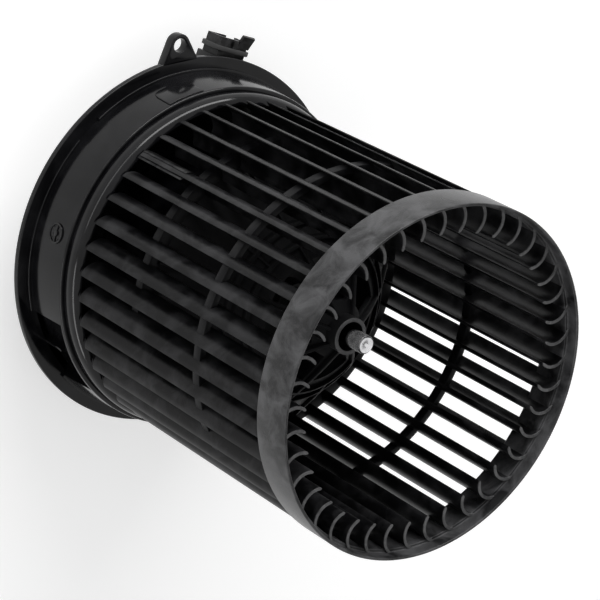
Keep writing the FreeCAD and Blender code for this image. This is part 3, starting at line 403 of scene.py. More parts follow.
def tube(name: str, radii: Point, heights: Point, steps: int = ROUND_STEPS) -> Piece:
    """Plain ring about the shaft.

    Args:
        name: Name of the object.
        radii: Inner and outer radius in millimetres; an inner radius of 0 makes a disc.
        heights: Height of the underside and of the top.
        steps: Number of facets round the axis.

    Returns:
        The ring.
    """
    (inner, outer), (low, high) = radii, heights
    return lathe(name, [(outer, low), (outer, high), (inner, high), (inner, low)], steps)


def turned(piece: Piece, degrees: float) -> Piece:
    """Turn a piece's mesh about the shaft, leaving its object in place."""
    piece.data.transform(Matrix.Rotation(math.radians(degrees), 4, "Z"))
    return piece


def applied(piece: Piece) -> Piece:
    """Put the result of a piece's modifiers in its mesh.

    Args:
        piece: The object whose modifiers are used up.

    Returns:
        The same object.
    """
    graph = bpy.context.evaluated_depsgraph_get()
    result = bpy.data.meshes.new_from_object(piece.evaluated_get(graph))
    piece.modifiers.clear()
    piece.data = result
    return piece


def cut(piece: Piece, cutters: list[Piece]) -> Piece:
    """Take cutters away from a piece and delete them.

    Args:
        piece: The piece to cut.
        cutters: Closed objects.

    Returns:
        The cut piece.
    """
    for cutter in cutters:
        change = piece.modifiers.new("cut", "BOOLEAN")
        change.operation = "DIFFERENCE"
        change.solver = "EXACT"
        change.object = cutter
        applied(piece)
        bpy.data.objects.remove(cutter)
    return piece


def join(name: str, pieces: list[Piece]) -> Piece:
    """Gather several meshes in one object, keeping their materials.

    Args:
        name: Name of the result.
        pieces: Objects, which are deleted.

    Returns:
        The joined object.
    """
    materials: list[bpy.types.Material] = []
    shape = bmesh.new()
    for piece in pieces:
        slots = []
        for material in piece.data.materials:
            if material not in materials:
                materials.append(material)
            slots.append(materials.index(material))
        start = len(shape.faces)
        shape.from_mesh(piece.data)
        shape.faces.ensure_lookup_table()
        for face in shape.faces[start:]:
            face.material_index = slots[face.material_index] if slots else 0
        bpy.data.objects.remove(piece)
    mesh = bpy.data.meshes.new(name)
    shape.to_mesh(mesh)
    shape.free()
    for material in materials:
        mesh.materials.append(material)
    return new_object(name, mesh)


def dress(piece: Piece, finish: Finish) -> Piece:
    """Give a whole piece one finish.

    Args:
        piece: The piece.
        finish: Its finish.

    Returns:
        The same piece.
    """
    piece.data.materials.clear()
    piece.data.materials.append(finish.material())
    return piece


def add_bevel(piece: Piece, width: float, steps: int = 2, angle: float = SHARP_ANGLE) -> None:
    """Add a modifier that rounds a piece's sharp edges.

    Args:
        piece: The piece.
        width: Width of the rounding in millimetres.
        steps: Facets across the rounding.
        angle: Angle between two faces from which their edge is sharp.
    """
    ease = piece.modifiers.new("ease", "BEVEL")
    ease.width = width * MM
    ease.segments = steps
    ease.limit_method = "ANGLE"
    ease.angle_limit = angle
    ease.use_clamp_overlap = True


def eased(piece: Piece, width: float, steps: int = 2) -> Piece:
    """Round a piece's sharp edges a little and shade its curves smooth.

    Args:
        piece: The piece.
        width: Width of the rounding in millimetres; 0 leaves the edges sharp.
        steps: Facets across the rounding.

    Returns:
        The same piece.
    """
    if width > 0:
        piece.modifiers.new("weld", "WELD").merge_threshold = WELD_OWN
        add_bevel(piece, width, steps)
        applied(piece)
    piece.data.shade_smooth()
    piece.data.set_sharp_from_angle(angle=SHARP_ANGLE)
    return piece


def ring_tree(material: bpy.types.Material) -> Tree:
    """Geometry Nodes tree that repeats a piece round the shaft.

    Args:
        material: Finish of the copies.

    Returns:
        The tree, with inputs named Count and Phase.
    """
    tree = bpy.data.node_groups.new("round the shaft", "GeometryNodeTree")
    for name, kind in (("Geometry", "Geometry"), ("Count", "Int"), ("Phase", "Float")):
        tree.interface.new_socket(name, in_out="INPUT", socket_type=f"NodeSocket{kind}")
    tree.interface.new_socket("Geometry", in_out="OUTPUT", socket_type="NodeSocketGeometry")
    nodes = tree.nodes
    link = tree.links.new
    entry = nodes.new("NodeGroupInput")
    points = nodes.new("GeometryNodePoints")
    link(entry.outputs["Count"], points.inputs["Count"])
    index = nodes.new("GeometryNodeInputIndex")
    pitch = math_of(tree, "DIVIDE", 2 * math.pi, entry.outputs["Count"])
    angle = math_of(tree, "MULTIPLY_ADD", index.outputs["Index"], pitch, entry.outputs["Phase"])
    turn = nodes.new("ShaderNodeCombineXYZ")
    link(angle, turn.inputs["Z"])
    copies = nodes.new("GeometryNodeInstanceOnPoints")
    link(points.outputs[0], copies.inputs["Points"])
    link(entry.outputs["Geometry"], copies.inputs["Instance"])
    link(turn.outputs[0], copies.inputs["Rotation"])
    real = nodes.new("GeometryNodeRealizeInstances")
    link(copies.outputs[0], real.inputs[0])
    paint = set_inputs(nodes.new("GeometryNodeSetMaterial"), {"Material": material})
    link(real.outputs[0], paint.inputs["Geometry"])
    link(paint.outputs[0], nodes.new("NodeGroupOutput").inputs[0])
    return tree


def around(piece: Piece, count: int, phase: float, finish: Finish) -> Piece:
    """Repeat a piece evenly round the shaft with Geometry Nodes and keep plain meshes.

    Args:
        piece: One copy at azimuth 0.
        count: Number of copies.
        phase: Azimuth of the first copy in degrees.
        finish: Finish of the copies.

    Returns:
        The object with every copy in its mesh.
    """
    tree = ring_tree(finish.material())
    repeat = piece.modifiers.new("round the shaft", "NODES")
    repeat.node_group = tree
    names = {item.name: item.identifier for item in tree.interface.items_tree
             if item.in_out == "INPUT"}
    repeat[names["Count"]] = count
    repeat[names["Phase"]] = math.radians(phase)
    return applied(piece)


def settle(piece: Piece, body: Body, slot: str, *nodes: str) -> Piece:
    """Hand a finished piece to the frame.

    Args:
        piece: The finished piece.
        body: Body that it rides on.
        slot: Material slot of the record; not used.
        nodes: Solids that the piece stands for.

    Returns:
        The same piece.
    """
    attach(piece, body.value)
    if nodes:
        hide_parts(*nodes)
    LOG.info("%s: %d faces on %s", piece.name, len(piece.data.polygons), body.value)
    return piece


@dataclass
class FanWheel:
    """Cage fan wheel, one moulding: mouth band, blades, rings, ribbed cone and boss.

    Sizes are in millimetres and heights are above the rear cover's face. A ring is its outer and inner
    radius, low and high; the skirt is its inner and outer radius and its low edge.
    """

    radius: float = 75.0
    rear: float = 62.5
    mouth: float = 206.5
    band_height: float = 18.2
    lip_wall: float = 1.3
    band_wall: float = 2.6
    ledge: float = 201.0
    blades: int = 41
    phase: float = 7.0
    blade_inner: float = 61.5
    blade_outer: float = 74.0
    blade_wall: float = 1.2
    proud: float = 0.45
    corner: float = 1.6
    corner_share: float = 0.8
    belly: float = 66.6
    root_lean: float = 2.0
    tip_lean: float = 5.5
    mid_ring: Ring = (72.0, 69.0, 141.5, 146.0)
    rim_ring: Ring = (68.0, 62.0, 91.9, 96.5)
    hub_wall: float = 2.4
    hub_rise: float = 48.0
    hub_swell: float = 3.0
    skirt: Triple = (29.0, 30.4, 110.0)
    windows: int = 7
    window_reach: Point = (12.5, 28.0)
    window_corner: float = 1.4
    spoke: float = 5.0
    ribs: int = 14
    rib_wall: float = 1.4
    rib_height: float = 2.4
    hoops: Point = (34.0, 40.0)
    boss_radius: float = 7.9
    boss_wall: float = 1.5
    boss_top: float = 151.0
    boss_recess: float = 11.5
    boss_grip: float = 15.0
    bore: float = 4.03
    edge: float = 0.3
    ring_edge: float = 0.35
    rib_edge: float = 0.25
    sunk: float = 1.0

    def bow(self) -> Triple:
        """Circle through a blade's inner edge, belly and outer edge.

        Returns:
            Radius and sideways place of its middle, and its own radius.
        """
        points = [Vector((self.blade_inner, self.root_lean)), Vector((self.belly, 0.0)),
                  Vector((self.blade_outer, self.tip_lean))]
        first, second = points[1] - points[0], points[2] - points[0]
        twice = 2 * (first.x * second.y - first.y * second.x)
        across = (second.y * first.length_squared - first.y * second.length_squared) / twice
        aside = (first.x * second.length_squared - second.x * first.length_squared) / twice
        return points[0].x + across, points[0].y + aside, math.hypot(across, aside)

    def camber(self, share: float) -> Point:
        """Middle line of a blade from its inner edge at 0 to its outer edge at 1.

        Args:
            share: Place along the blade.

        Returns:
            Radius and sideways lean.
        """
        middle, aside, reach = self.bow()
        radius = self.blade_inner + (self.blade_outer - self.blade_inner) * share
        return radius, aside - math.sqrt(reach ** 2 - (radius - middle) ** 2)

    def blade_outline(self) -> list[Point]:
        """Section of a blade, with rounded long edges.

        Returns:
            Points of radius and lean.
        """
        steps = 22
        nearby = 0.01
        thinnest = 0.12
        half = self.blade_wall / 2
        left, right = [], []
        for index in range(steps + 1):
            share = index / steps
            before = Vector(self.camber(max(0.0, share - nearby)))
            after = Vector(self.camber(min(1.0, share + nearby)))
            along = (after - before).normalized()
            across = Vector((-along.y, along.x))
            middle = Vector(self.camber(share))
            edge = min(share, 1 - share) * (self.blade_outer - self.blade_inner)
            width = half * math.sqrt(max(thinnest, 1 - max(0.0, 1 - edge / half) ** 2))
            left.append(middle + across * width)
            right.append(middle - across * width)
        return [tuple(point) for point in left + right[::-1]]

    def blade_end(self) -> Piece:
        """End of a blade that stands a little proud of the ledge."""
        end = prism("blade end", self.blade_outline(), self.ledge, self.ledge + self.proud)
        return eased(end, 0.0)

    def blade(self) -> Piece:
        """One blade with rounded long edges and rounded corners at its free rear end.

        Returns:
            The blade at azimuth 0.
        """
        piece = prism("blade", self.blade_outline(), self.rear, self.ledge)
        half = self.blade_wall / 2
        shape = bmesh.new()
        shape.from_mesh(piece.data)
        corner = self.corner * MM
        start = self.rear * MM
        cuts = 5
        for index in range(1, cuts + 1):
            height = start + corner * index / cuts
            bmesh.ops.bisect_plane(shape, geom=shape.verts[:] + shape.edges[:] + shape.faces[:],
                                   plane_co=(0, 0, height), plane_no=(0, 0, 1))
        inner = self.blade_inner * MM
        width = (self.blade_outer - self.blade_inner) * MM
        for vertex in shape.verts:
            depth = (start + corner - vertex.co.z) / corner
            limit = inner + corner * (1 - math.sqrt(max(0.0, 1 - depth * depth)))
            if depth > 0 and vertex.co.x < limit:
                middle = self.camber((vertex.co.x - inner) / width)[1] * MM
                side = 1 if vertex.co.y > middle else -1
                lean = self.camber((limit - inner) / width)[1] * MM
                vertex.co.x = limit
                vertex.co.y = lean + side * half * MM * self.corner_share
        shape.to_mesh(piece.data)
        shape.free()
        return eased(piece, 0.0)

    def band(self) -> Piece:
        """Mouth band with a thin rounded lip and the ledge that the blades end on.

        Returns:
            The band.
        """
        lip = self.radius - self.lip_wall
        wall = self.radius - self.band_wall
        low = self.mouth - self.band_height
        soft = self.lip_wall / 2
        toe, slope, nick = 0.5, 0.35, 0.2
        crest = arc((self.radius - soft, self.mouth - soft), soft, 0, 180, 8)
        foot = arc((self.radius - toe, low + toe), toe, -90, 0, 4)
        inner_foot = arc((wall + toe, low + toe), toe, 180, 270, 4)
        profile = foot + crest + [(lip, self.ledge + slope), (lip - slope, self.ledge),
                                  (wall + nick, self.ledge), (wall, self.ledge - nick)] + inner_foot
        return eased(lathe("band", profile), 0.0)

    def hoop(self, name: str, sizes: Ring) -> Piece:
        """Plain ring between blades with eased corners."""
        outer, inner, low, high = sizes
        return eased(tube(name, (inner, outer), (low, high)), self.ring_edge)

    def surface(self, radius: float) -> float:
        """Height of the cone's mouth side at a radius.

        Args:
            radius: Distance from the shaft.

        Returns:
            Height above the rear cover's face.
        """
        start = self.boss_radius
        share = (radius - start) / (self.rim_ring[1] - start)
        swell = self.hub_swell * math.sin(math.pi * min(max(share, 0.0), 1.0))
        return self.rim_ring[3] + self.hub_rise * (1 - share) + swell

    def layer(self, inner: float, outer: float, above: float, below: float) -> list[Point]:
        """Outline of a layer that follows the cone.

        Args:
            inner: Radius where the layer starts.
            outer: Radius where it ends.
            above: Height over the cone's surface.
            below: Depth under it.

        Returns:
            The outline as radius and height.
        """
        pitch = 4.0
        steps = max(1, round((outer - inner) / pitch))
        radii = [inner + (outer - inner) * k / steps for k in range(steps + 1)]
        top = [(radius, self.surface(radius) + above) for radius in radii]
        return top + [(radius, self.surface(radius) - below) for radius in reversed(radii)]

    def window(self) -> Piece:
        """Cutter for one opening between two spokes, with rounded corners.

        Returns:
            The cutter at azimuth 0.
        """
        inner, outer = self.window_reach
        half = math.pi / self.windows
        outline: list[Point] = []
        for radius, way in ((inner, 1), (outer, -1)):
            side = math.degrees(half - math.asin(self.spoke / 2 / radius))
            outline += arc((0, 0), radius, -side * way, side * way, 14)
        beyond = 5.0
        shape = prism("window", outline, self.rim_ring[3] - beyond,
                      self.rim_ring[3] + self.hub_rise + beyond)
        add_bevel(shape, self.window_corner, 4, math.radians(50))
        return applied(shape)

    def cone(self) -> Piece:
        """Hub cone with its cooling openings.

        Returns:
            The cone.
        """
        cone = lathe("cone", self.layer(self.boss_radius - self.sunk, self.rim_ring[1] + self.sunk,
                                        0, self.hub_wall))
        step = 360.0 / self.windows
        cutters = [turned(self.window(), step * (k + 0.5)) for k in range(self.windows)]
        return eased(cut(cone, cutters), self.edge)

    def air_skirt(self) -> Piece:
        """Ring under the cone that leads the motor's air to the openings.

        Returns:
            The ring.
        """
        inner, outer, low = self.skirt
        top = self.surface(outer) - self.hub_wall / 2
        return eased(tube("air skirt", (inner, outer), (low, top)), self.edge)

    def boss(self) -> Piece:
        """Boss round the shaft with a deep recess in its front.

        Returns:
            The boss.
        """
        recess = self.boss_radius - self.boss_wall
        floor = self.boss_top - self.boss_recess
        profile = [(self.bore, floor - self.boss_grip), (self.boss_radius, floor - self.boss_grip),
                   (self.boss_radius, self.boss_top), (recess, self.boss_top), (recess, floor),
                   (self.bore, floor)]
        return eased(lathe("boss", profile, SMALL_STEPS), self.edge, 3)

    def boss_face(self) -> Piece:
        """Front edge of the boss, in grey that paints a highlight on it.

        Returns:
            The edge.
        """
        depth, rise, beyond = 0.3, 0.15, 0.1
        radii = (self.boss_radius - self.boss_wall - beyond, self.boss_radius + beyond)
        face = tube("boss face", radii, (self.boss_top - depth, self.boss_top + rise), SMALL_STEPS)
        return eased(face, 0.2, 3)

    def rib(self, start: float) -> Piece:
        """One radial rib on the cone, from a radius to the rim.

        Args:
            start: Radius where the rib starts.

        Returns:
            The rib at azimuth 0.
        """
        points = self.layer(start, self.rim_ring[1] + 1.5 * self.sunk, self.rib_height, self.hub_wall / 2)
        rib = prism("rib", points, -self.rib_wall / 2, self.rib_wall / 2)
        rib.data.transform(Matrix.Rotation(math.pi / 2, 4, "X"))
        return eased(rib, self.rib_edge)

    def build(self) -> Piece:
        """Make the whole moulding.

        Returns:
            One piece that rides on the fan and stands for its solid.
        """
        blades = around(self.blade(), self.blades, self.phase, WHEEL)
        # The blade ends carry a painted highlight.
        ends = around(self.blade_end(), self.blades, self.phase, EDGE_HIGHLIGHT)
        half_ribs = self.ribs // 2
        parts = [
            # The two rings take a darker copy of the wheel's plastic, which is painted shade.
            dress(self.hoop("middle ring", self.mid_ring), SHADED_RING),
            dress(self.hoop("hub rim", self.rim_ring), SHADED_RING),
            # The cone, skirt, boss, ribs and hoops take the darker hub colour, which is painted shade.
            *(dress(piece, SHADED_HUB) for piece in (self.cone(), self.air_skirt(), self.boss())),
            # The boss's front edge carries the same painted highlight.
            dress(self.boss_face(), EDGE_HIGHLIGHT),
            around(self.rib(self.boss_radius - self.sunk / 2), half_ribs, 0.0, SHADED_HUB),
            around(self.rib(self.hoops[0] + self.sunk / 2), half_ribs, 180.0 / half_ribs, SHADED_HUB),
        ]
        for radius in self.hoops:
            outline = self.layer(radius, radius + self.rib_wall, self.rib_height, self.hub_wall / 2)
            parts.append(dress(eased(lathe("hoop", outline), self.edge), SHADED_HUB))
        # The band's colour is scuffed and lighter all over, which is partly painted light.
        whole = join("wheel_moulding", [dress(self.band(), BAND_SCUFFS_AND_LIGHT), blades, ends] + parts)
        return settle(whole, Body.FAN, "wheel_plastic", "fan_wheel")


@dataclass
class Shaft:
    """Ground motor shaft with a chamfered end and a centre mark. Sizes in millimetres."""

    radius: float = 4.0
    low: float = 13.0
    top: float = 161.5
    chamfer: float = 0.6
    mark: float = 1.3
    mark_depth: float = 1.2

    def build(self) -> Piece:
        """Make the shaft.

        Returns:
            The piece that stands for the shaft's solid.
        """
        edge = self.radius - self.chamfer
        top = self.top
        profile = [(0, self.low), (edge, self.low), (self.radius, self.low + self.chamfer),
                   (self.radius, top - self.chamfer), (edge + 0.05, top - 0.05),
                   (edge - 0.2, top - 0.6), (0, top - 1.7)]
        end = [(0, top - 1.8), (edge, top - 0.7), (edge, top - 0.1), (edge - 0.1, top),
               (self.mark, top), (self.mark - 0.3, top - 0.2), (0, top - self.mark_depth)]
        # The shaft's dark side and bright end are painted reflection on one steel.
        bar = dress(eased(lathe("bar", profile, SMALL_STEPS), 0.12), SHADED_SHAFT_STEEL)
        face = dress(eased(lathe("end", end, SMALL_STEPS), 0.0), LIT_SHAFT_END)
        return settle(join("shaft_bar", [bar, face]), Body.FAN, "ground_steel", "motor_shaft")


@dataclass
class Flange:
    """Flange moulding: rim with ear, slotted collar, bell-mouth lip, well and motor cup.

    Sizes are in millimetres and heights are above the rear cover's face. Slot and notch: start and sweep in
    degrees. Pad: these and its length. Mark: azimuth, height and radius. Duct: inner end, depth and wall.
    Boss: radius and length. Cheek: place aside, wall, inner end and low edge.
    """

    seat: float = 30.0
    plate: float = 2.5
    rim: float = 84.5
    collar: float = 77.6
    collar_base: float = 78.6
    collar_top: float = 53.3
    bead: float = 4.6
    well: float = 71.4
    lip_top: float = 60.7
    step: float = 1.0
    step_rise: float = 1.5
    wall: float = 2.0
    cup: float = 40.0
    cup_top: float = 80.0
    cup_lip: float = 2.2
    slot: Point = (189.0, 28.0)
    slot_lip: float = 1.6
    duct: Triple = (47.5, 9.0, 2.0)
    notch: Point = (122.5, 9.0)
    pad: Triple = (92.5, 13.0, 14.5)
    raised: float = 0.5
    mark: Triple = (160.0, 14.5, 4.5)
    ear_reach: float = 90.9
    ear_radius: float = 5.0
    ear_half: float = 9.3
    ear_wall: float = 4.4
    ear_hole: float = 3.1
    ribs: int = 12
    rib_wall: float = 1.6
    rib_depth: float = 6.0
    connector: float = 67.5
    screw_circle: float = 52.0
    screws: int = 3
    boss: Point = (4.4, 9.0)
    cheek: Ring = (8.15, 2.0, 61.0, 11.0)
    groove: float = 1.8
    web_rise: float = 11.6
    edge: float = 0.25
    sunk: float = 1.0

    def shell_profile(self) -> list[Point]:
        """Outline of the turned shell, with the lip's bead as arcs.

        Returns:
            Points of radius and height.
        """
        under = self.seat - self.plate
        step = self.collar_base + self.step
        ledge = self.seat + self.step_rise
        groove = self.collar - self.groove
        cup, mouth, well = self.cup + self.wall, self.cup - self.cup_lip, self.well + self.wall
        inside = self.collar_top - self.wall
        foot, chamfer, nick = 1.0, 0.3, 0.4
        rim_round, step_round, lip_round, collar_round = 0.6, 0.25, 0.5, 0.9
        bead = arc((groove - self.bead, self.lip_top - self.bead), self.bead, 0, 80, 16)
        inner = arc((self.well + lip_round, self.lip_top - 0.6), lip_round, 80, 180, 5)
        corner = arc((self.collar - collar_round, self.collar_top - collar_round), collar_round, 3, 90, 6)
        return (
            [(self.rim - chamfer, under), (self.rim, under + chamfer)]
            + arc((self.rim - rim_round, self.seat - rim_round), rim_round, 0, 90, 5)
            + [(step, self.seat)]
            + arc((step - step_round, ledge - step_round), step_round, 0, 90, 3)
            + [(self.collar_base, ledge)]
            + corner + [(groove + 0.2, self.collar_top), (groove, self.collar_top - 0.5)] + bead + inner
            + [(self.well, self.lip_top - 3.0), (self.well, self.seat + foot),
               (self.well - foot, self.seat), (cup + foot, self.seat), (cup, self.seat + foot),
               (cup, self.cup_top - nick),
               (cup - nick, self.cup_top), (mouth, self.cup_top), (mouth, self.cup_top - self.wall),
               (self.cup, self.cup_top - self.wall), (self.cup, under), (well, under), (well, inside),
               (self.collar - self.wall, inside), (self.collar_base - self.wall, under)]
        )

    def sector(self, name: str, inner: float, outer: float, span: Point, z: Point) -> Piece:
        """Part of a tube over a start and sweep in degrees.

        Args:
            name: Name of the piece.
            inner: Inner radius.
            outer: Outer radius.
            span: Start and sweep.
            z: Lowest and highest point.

        Returns:
            The piece.
        """
        steps = max(4, round(span[1]))
        outline = arc((0, 0), outer, span[0], span[0] + span[1], steps)
        outline += arc((0, 0), inner, span[0] + span[1], span[0], steps)
        return prism(name, outline, z[0], z[1])

    def shell(self) -> Piece:
        """Turned shell with the slot and the notch in the step cut.

        Returns:
            The shell.
        """
        shell = lathe("shell", self.shell_profile(), SHELL_STEPS)
        outside = self.collar_base + self.step + self.sunk
        cutters = [
            self.sector("slot", self.collar - self.wall - self.sunk, outside, self.slot,
                        (self.seat, self.collar_top - self.slot_lip)),
            self.sector("notch", self.collar_base, outside, self.notch,
                        (self.seat, self.seat + self.step_rise + self.sunk)),
        ]
        return eased(cut(shell, cutters), 0.0)

    def ear(self) -> Piece:
        """Fixing lug with a round end and its screw hole.

        Returns:
            The lug.
        """
        root = math.sqrt(self.rim ** 2 - self.ear_half ** 2) - self.sunk
        rise = self.ear_reach - root
        reach = math.hypot(self.ear_half, rise)
        lean = math.asin(self.ear_radius / reach)
        heading = math.atan2(rise, -self.ear_half) - lean
        angle = math.degrees(heading - math.pi / 2)
        outline = arc((0, self.ear_reach), self.ear_radius, angle, 180 - angle, 32)
        outline += [(-self.ear_half, root), (self.ear_half, root)]
        lug = prism("ear", outline, self.seat - self.ear_wall, self.seat)
        hole = prism("hole", arc((0, self.ear_reach), self.ear_hole, 0, 352.5, 47),
                     self.seat - self.ear_wall - self.sunk, self.seat + self.sunk)
        return eased(cut(lug, [hole]), 0.45, 3)

    def collar_pad(self) -> Piece:
        """Low pad with a rounded foot on the collar.

        Returns:
            The pad.
        """
        start, sweep, length = self.pad
        low = self.collar_top - length
        high = self.collar_top - 1.2
        steps, corner, depth = 26, 4.0, 0.8
        width = self.collar * math.radians(sweep)
        shape = bmesh.new()
        columns = []
        for index in range(steps + 1):
            share = index / steps
            angle = math.radians(start + sweep * share)
            inset = max(0.0, corner - min(share, 1 - share) * width)
            foot = low + corner - math.sqrt(corner ** 2 - inset ** 2)
            column = []
            for height in (foot, (foot + self.collar_top) / 2, high):
                slope = (self.collar_top - height) / (self.collar_top - self.seat)
                face = self.collar + slope * (self.collar_base - self.collar)
                column.append([shape.verts.new((r * math.cos(angle), r * math.sin(angle), height))
                               for r in (face - depth, face + self.raised)])
            columns.append(column)
        for left, right in zip(columns, columns[1:]):
            for row in (0, 1):
                for side in (0, 1):
                    shape.faces.new([left[row][side], right[row][side],
                                     right[row + 1][side], left[row + 1][side]])
            for row in (0, 2):
                shape.faces.new([left[row][0], right[row][0], right[row][1], left[row][1]])
        for column in (columns[0], columns[-1]):
            for low_row, high_row in zip(column, column[1:]):
                shape.faces.new([low_row[0], low_row[1], high_row[1], high_row[0]])
        return eased(from_bmesh("collar pad", shape), self.edge, 3)

    def date_mark(self) -> Piece:
        """Round moulded mark with a hoop, a pointer and plain ticks.

        Returns:
            The mark in its place on the collar.
        """
        azimuth, height, radius = self.mark
        ticks, depth = 12, 0.35
        pieces = [tube("mark hoop", (radius - 0.8, radius), (0, 0.9), 64),
                  block("pointer", (-0.45, 0.45), (-radius + 0.6, radius - 0.6), (0, 0.8)),
                  tube("mark hub", (0, 1.3), (0, 1.0), 32)]
        for index in range(ticks):
            tick = block("tick", (radius - 1.7, radius - 0.7), (-0.15, 0.15), (0, 0.7))
            pieces.append(turned(tick, 360 / ticks * (index + 0.5)))
        mark = join("date mark", pieces)
        slope = height / (self.collar_top - self.seat)
        face = self.collar_base + slope * (self.collar - self.collar_base)
        place = (Matrix.Rotation(math.radians(azimuth), 4, "Z")
                 @ Matrix.Translation(((face - depth) * MM, 0, (self.seat + height) * MM))
                 @ Matrix.Rotation(math.pi / 2, 4, "Y"))
        mark.data.transform(place)
        return eased(mark, 0.12)

    def rear_ribs(self) -> list[Piece]:
        """Stiffening ribs behind the floor and webs across the collar's groove.

        Returns:
            All the ribs, and all the webs.
        """
        under = self.seat - self.plate
        phase = self.connector + 180.0 / self.ribs
        side = (-self.rib_wall / 2, self.rib_wall / 2)
        rib = block("rib", (self.duct[0], self.well + self.wall), side,
                    (under - self.rib_depth, under + self.sunk / 2))
        web = block("web", (self.well + self.sunk, self.collar - self.sunk), side,
                    (under, self.seat + self.web_rise))
        return [around(eased(piece, self.edge), self.ribs, phase, FLANGE) for piece in (rib, web)]

    def cooling_duct(self) -> Piece:
        """Closed channel under the floor, from the collar's slot to the rear cover.

        Returns:
            The channel.
        """
        inner, depth, wall = self.duct
        under = self.seat - self.plate
        margin = math.degrees(wall / self.collar)
        span = (self.slot[0] - margin, self.slot[1] + 2 * margin)
        into = self.sunk / 2
        inside = self.collar_base - self.wall
        outside = self.sector("duct", inner, self.collar_base, span, (under - depth, under + into))
        hollow = self.sector("hollow", inner - 1.5 * self.sunk, inside, self.slot,
                             (under - depth + wall, under))
        groove = self.sector("groove", self.well + self.wall, inside, self.slot,
                             (under - into, under + self.sunk))
        return eased(cut(outside, [hollow, groove]), self.edge)

    def slot_ends(self) -> list[Piece]:
        """Walls that close the collar's groove at both ends of the slot.

        Returns:
            The two walls.
        """
        margin = math.degrees(self.duct[2] / self.collar)
        low = self.seat - self.plate - self.duct[1] / 2
        return [self.sector("slot end", self.well + self.sunk, self.collar - self.sunk, (start, margin),
                            (low, self.collar_top - self.sunk))
                for start in (self.slot[0] - margin, self.slot[0] + self.slot[1])]

    def screw_bosses(self) -> Piece:
        """Blind bosses that take the rear cover's screws.

        Returns:
            All the bosses.
        """
        radius, length = self.boss
        boss = tube("boss", (0, radius), (self.seat - self.sunk, self.seat + length), 48)
        boss.data.transform(Matrix.Translation((self.screw_circle * MM, 0, 0)))
        return around(eased(boss, 0.4), self.screws, self.connector + 180.0 / self.screws, FLANGE)

    def cheeks(self) -> list[Piece]:
        """Walls under the rim on both sides of the connector.

        Returns:
            The four walls.
        """
        under = self.seat - self.plate
        aside, wall, inner, low = self.cheek
        walls = []
        for side in (1, -1):
            across = tuple(sorted((side * aside, side * (aside + wall))))
            for x in ((inner, self.well + self.sunk),
                      (self.collar - self.sunk, self.rim - 1.5 * self.sunk)):
                cheek = block("cheek", x, across, (low, under + self.sunk / 2))
                walls.append(turned(eased(cheek, 0.3), self.connector))
        return walls

    def build(self) -> Piece:
        """Make the whole moulding.

        Returns:
            One piece that stands for the flange's solid.
        """
        plain = [self.shell(), self.ear(), self.collar_pad(), self.date_mark(), self.cooling_duct()]
        plain += self.cheeks() + self.slot_ends()
        pieces = [dress(piece, FLANGE) for piece in plain]
        pieces += self.rear_ribs() + [self.screw_bosses()]
        whole = join("flange_moulding", pieces)
        return settle(whole, Body.MOTOR, "flange_plastic", "mounting_flange")


@dataclass
class CadPieces:
    """Solids whose shape is right as it comes, with eased edges and their own finishes."""

    ease: float = 0.22

    def build(self) -> None:
        """Dress every remaining solid."""
        for name, finish in CAD_FINISHES.items():
            self.soften(dress(frame["nodes"][name], finish))
            LOG.info("%s dressed in %s", name, finish.name)
        for side in ("left", "right"):
            self.brush_coil(side)

    def soften(self, piece: Piece) -> None:
        """Round a piece's sharp edges and shade its curves smooth.

        Args:
            piece: The piece.
        """
        piece.modifiers.new("weld", "WELD").merge_threshold = WELD_CAD
        add_bevel(piece, self.ease)
        smooth = piece.modifiers.new("smooth", "NODES")
        smooth.node_group = self.smooth_tree()

    def brush_coil(self, side: str) -> None:
        """Coil behind a brush, made from a copy of the spring's solid.

        Args:
            side: Name of the brush's side.
        """
        node = f"brush_spring_{side}"
        coil = dress(new_object(f"{node}_coil", frame["nodes"][node].data.copy()), SPRING_STEEL)
        self.soften(coil)
        coil = applied(coil)
        settle(coil, Body.MOTOR, self.slot_of(node), node)
        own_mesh(coil)

    @staticmethod
    def joint_of(name: str) -> dict:
        """Joint of the record by its name."""
        return next(row for row in frame["record"]["behaviour"]["joints"] if row["name"] == name)

    @staticmethod
    def slot_of(name: str) -> str:
        """Material slot that the record gives a node."""
        return next(row["material_slot"] for row in frame["record"]["subparts"] if row["node"] == name)

    @staticmethod
    def smooth_tree() -> Tree:
        """Geometry Nodes tree that shades curves smooth and keeps real edges sharp.

        Returns:
            The tree.
        """
        found = bpy.data.node_groups.get("smooth curves")
        if found:
            return found
        tree = bpy.data.node_groups.new("smooth curves", "GeometryNodeTree")
        for way in ("INPUT", "OUTPUT"):
            tree.interface.new_socket("Geometry", in_out=way, socket_type="NodeSocketGeometry")
        nodes = tree.nodes
        link = tree.links.new
        faces = nodes.new("GeometryNodeSetShadeSmooth")
        faces.domain = "FACE"
        link(nodes.new("NodeGroupInput").outputs[0], faces.inputs["Geometry"])
        angle = nodes.new("GeometryNodeInputMeshEdgeAngle")
        sharp = nodes.new("FunctionNodeCompare")
        sharp.data_type = "FLOAT"
        sharp.operation = "GREATER_THAN"
        sharp.inputs["B"].default_value = SHARP_ANGLE
        link(angle.outputs["Unsigned Angle"], sharp.inputs["A"])
        edges = nodes.new("GeometryNodeSetShadeSmooth")
        edges.domain = "EDGE"
        edges.inputs["Shade Smooth"].default_value = False
        link(faces.outputs[0], edges.inputs["Geometry"])
        link(sharp.outputs["Result"], edges.inputs["Selection"])
        link(edges.outputs[0], nodes.new("NodeGroupOutput").inputs[0])
        return tree


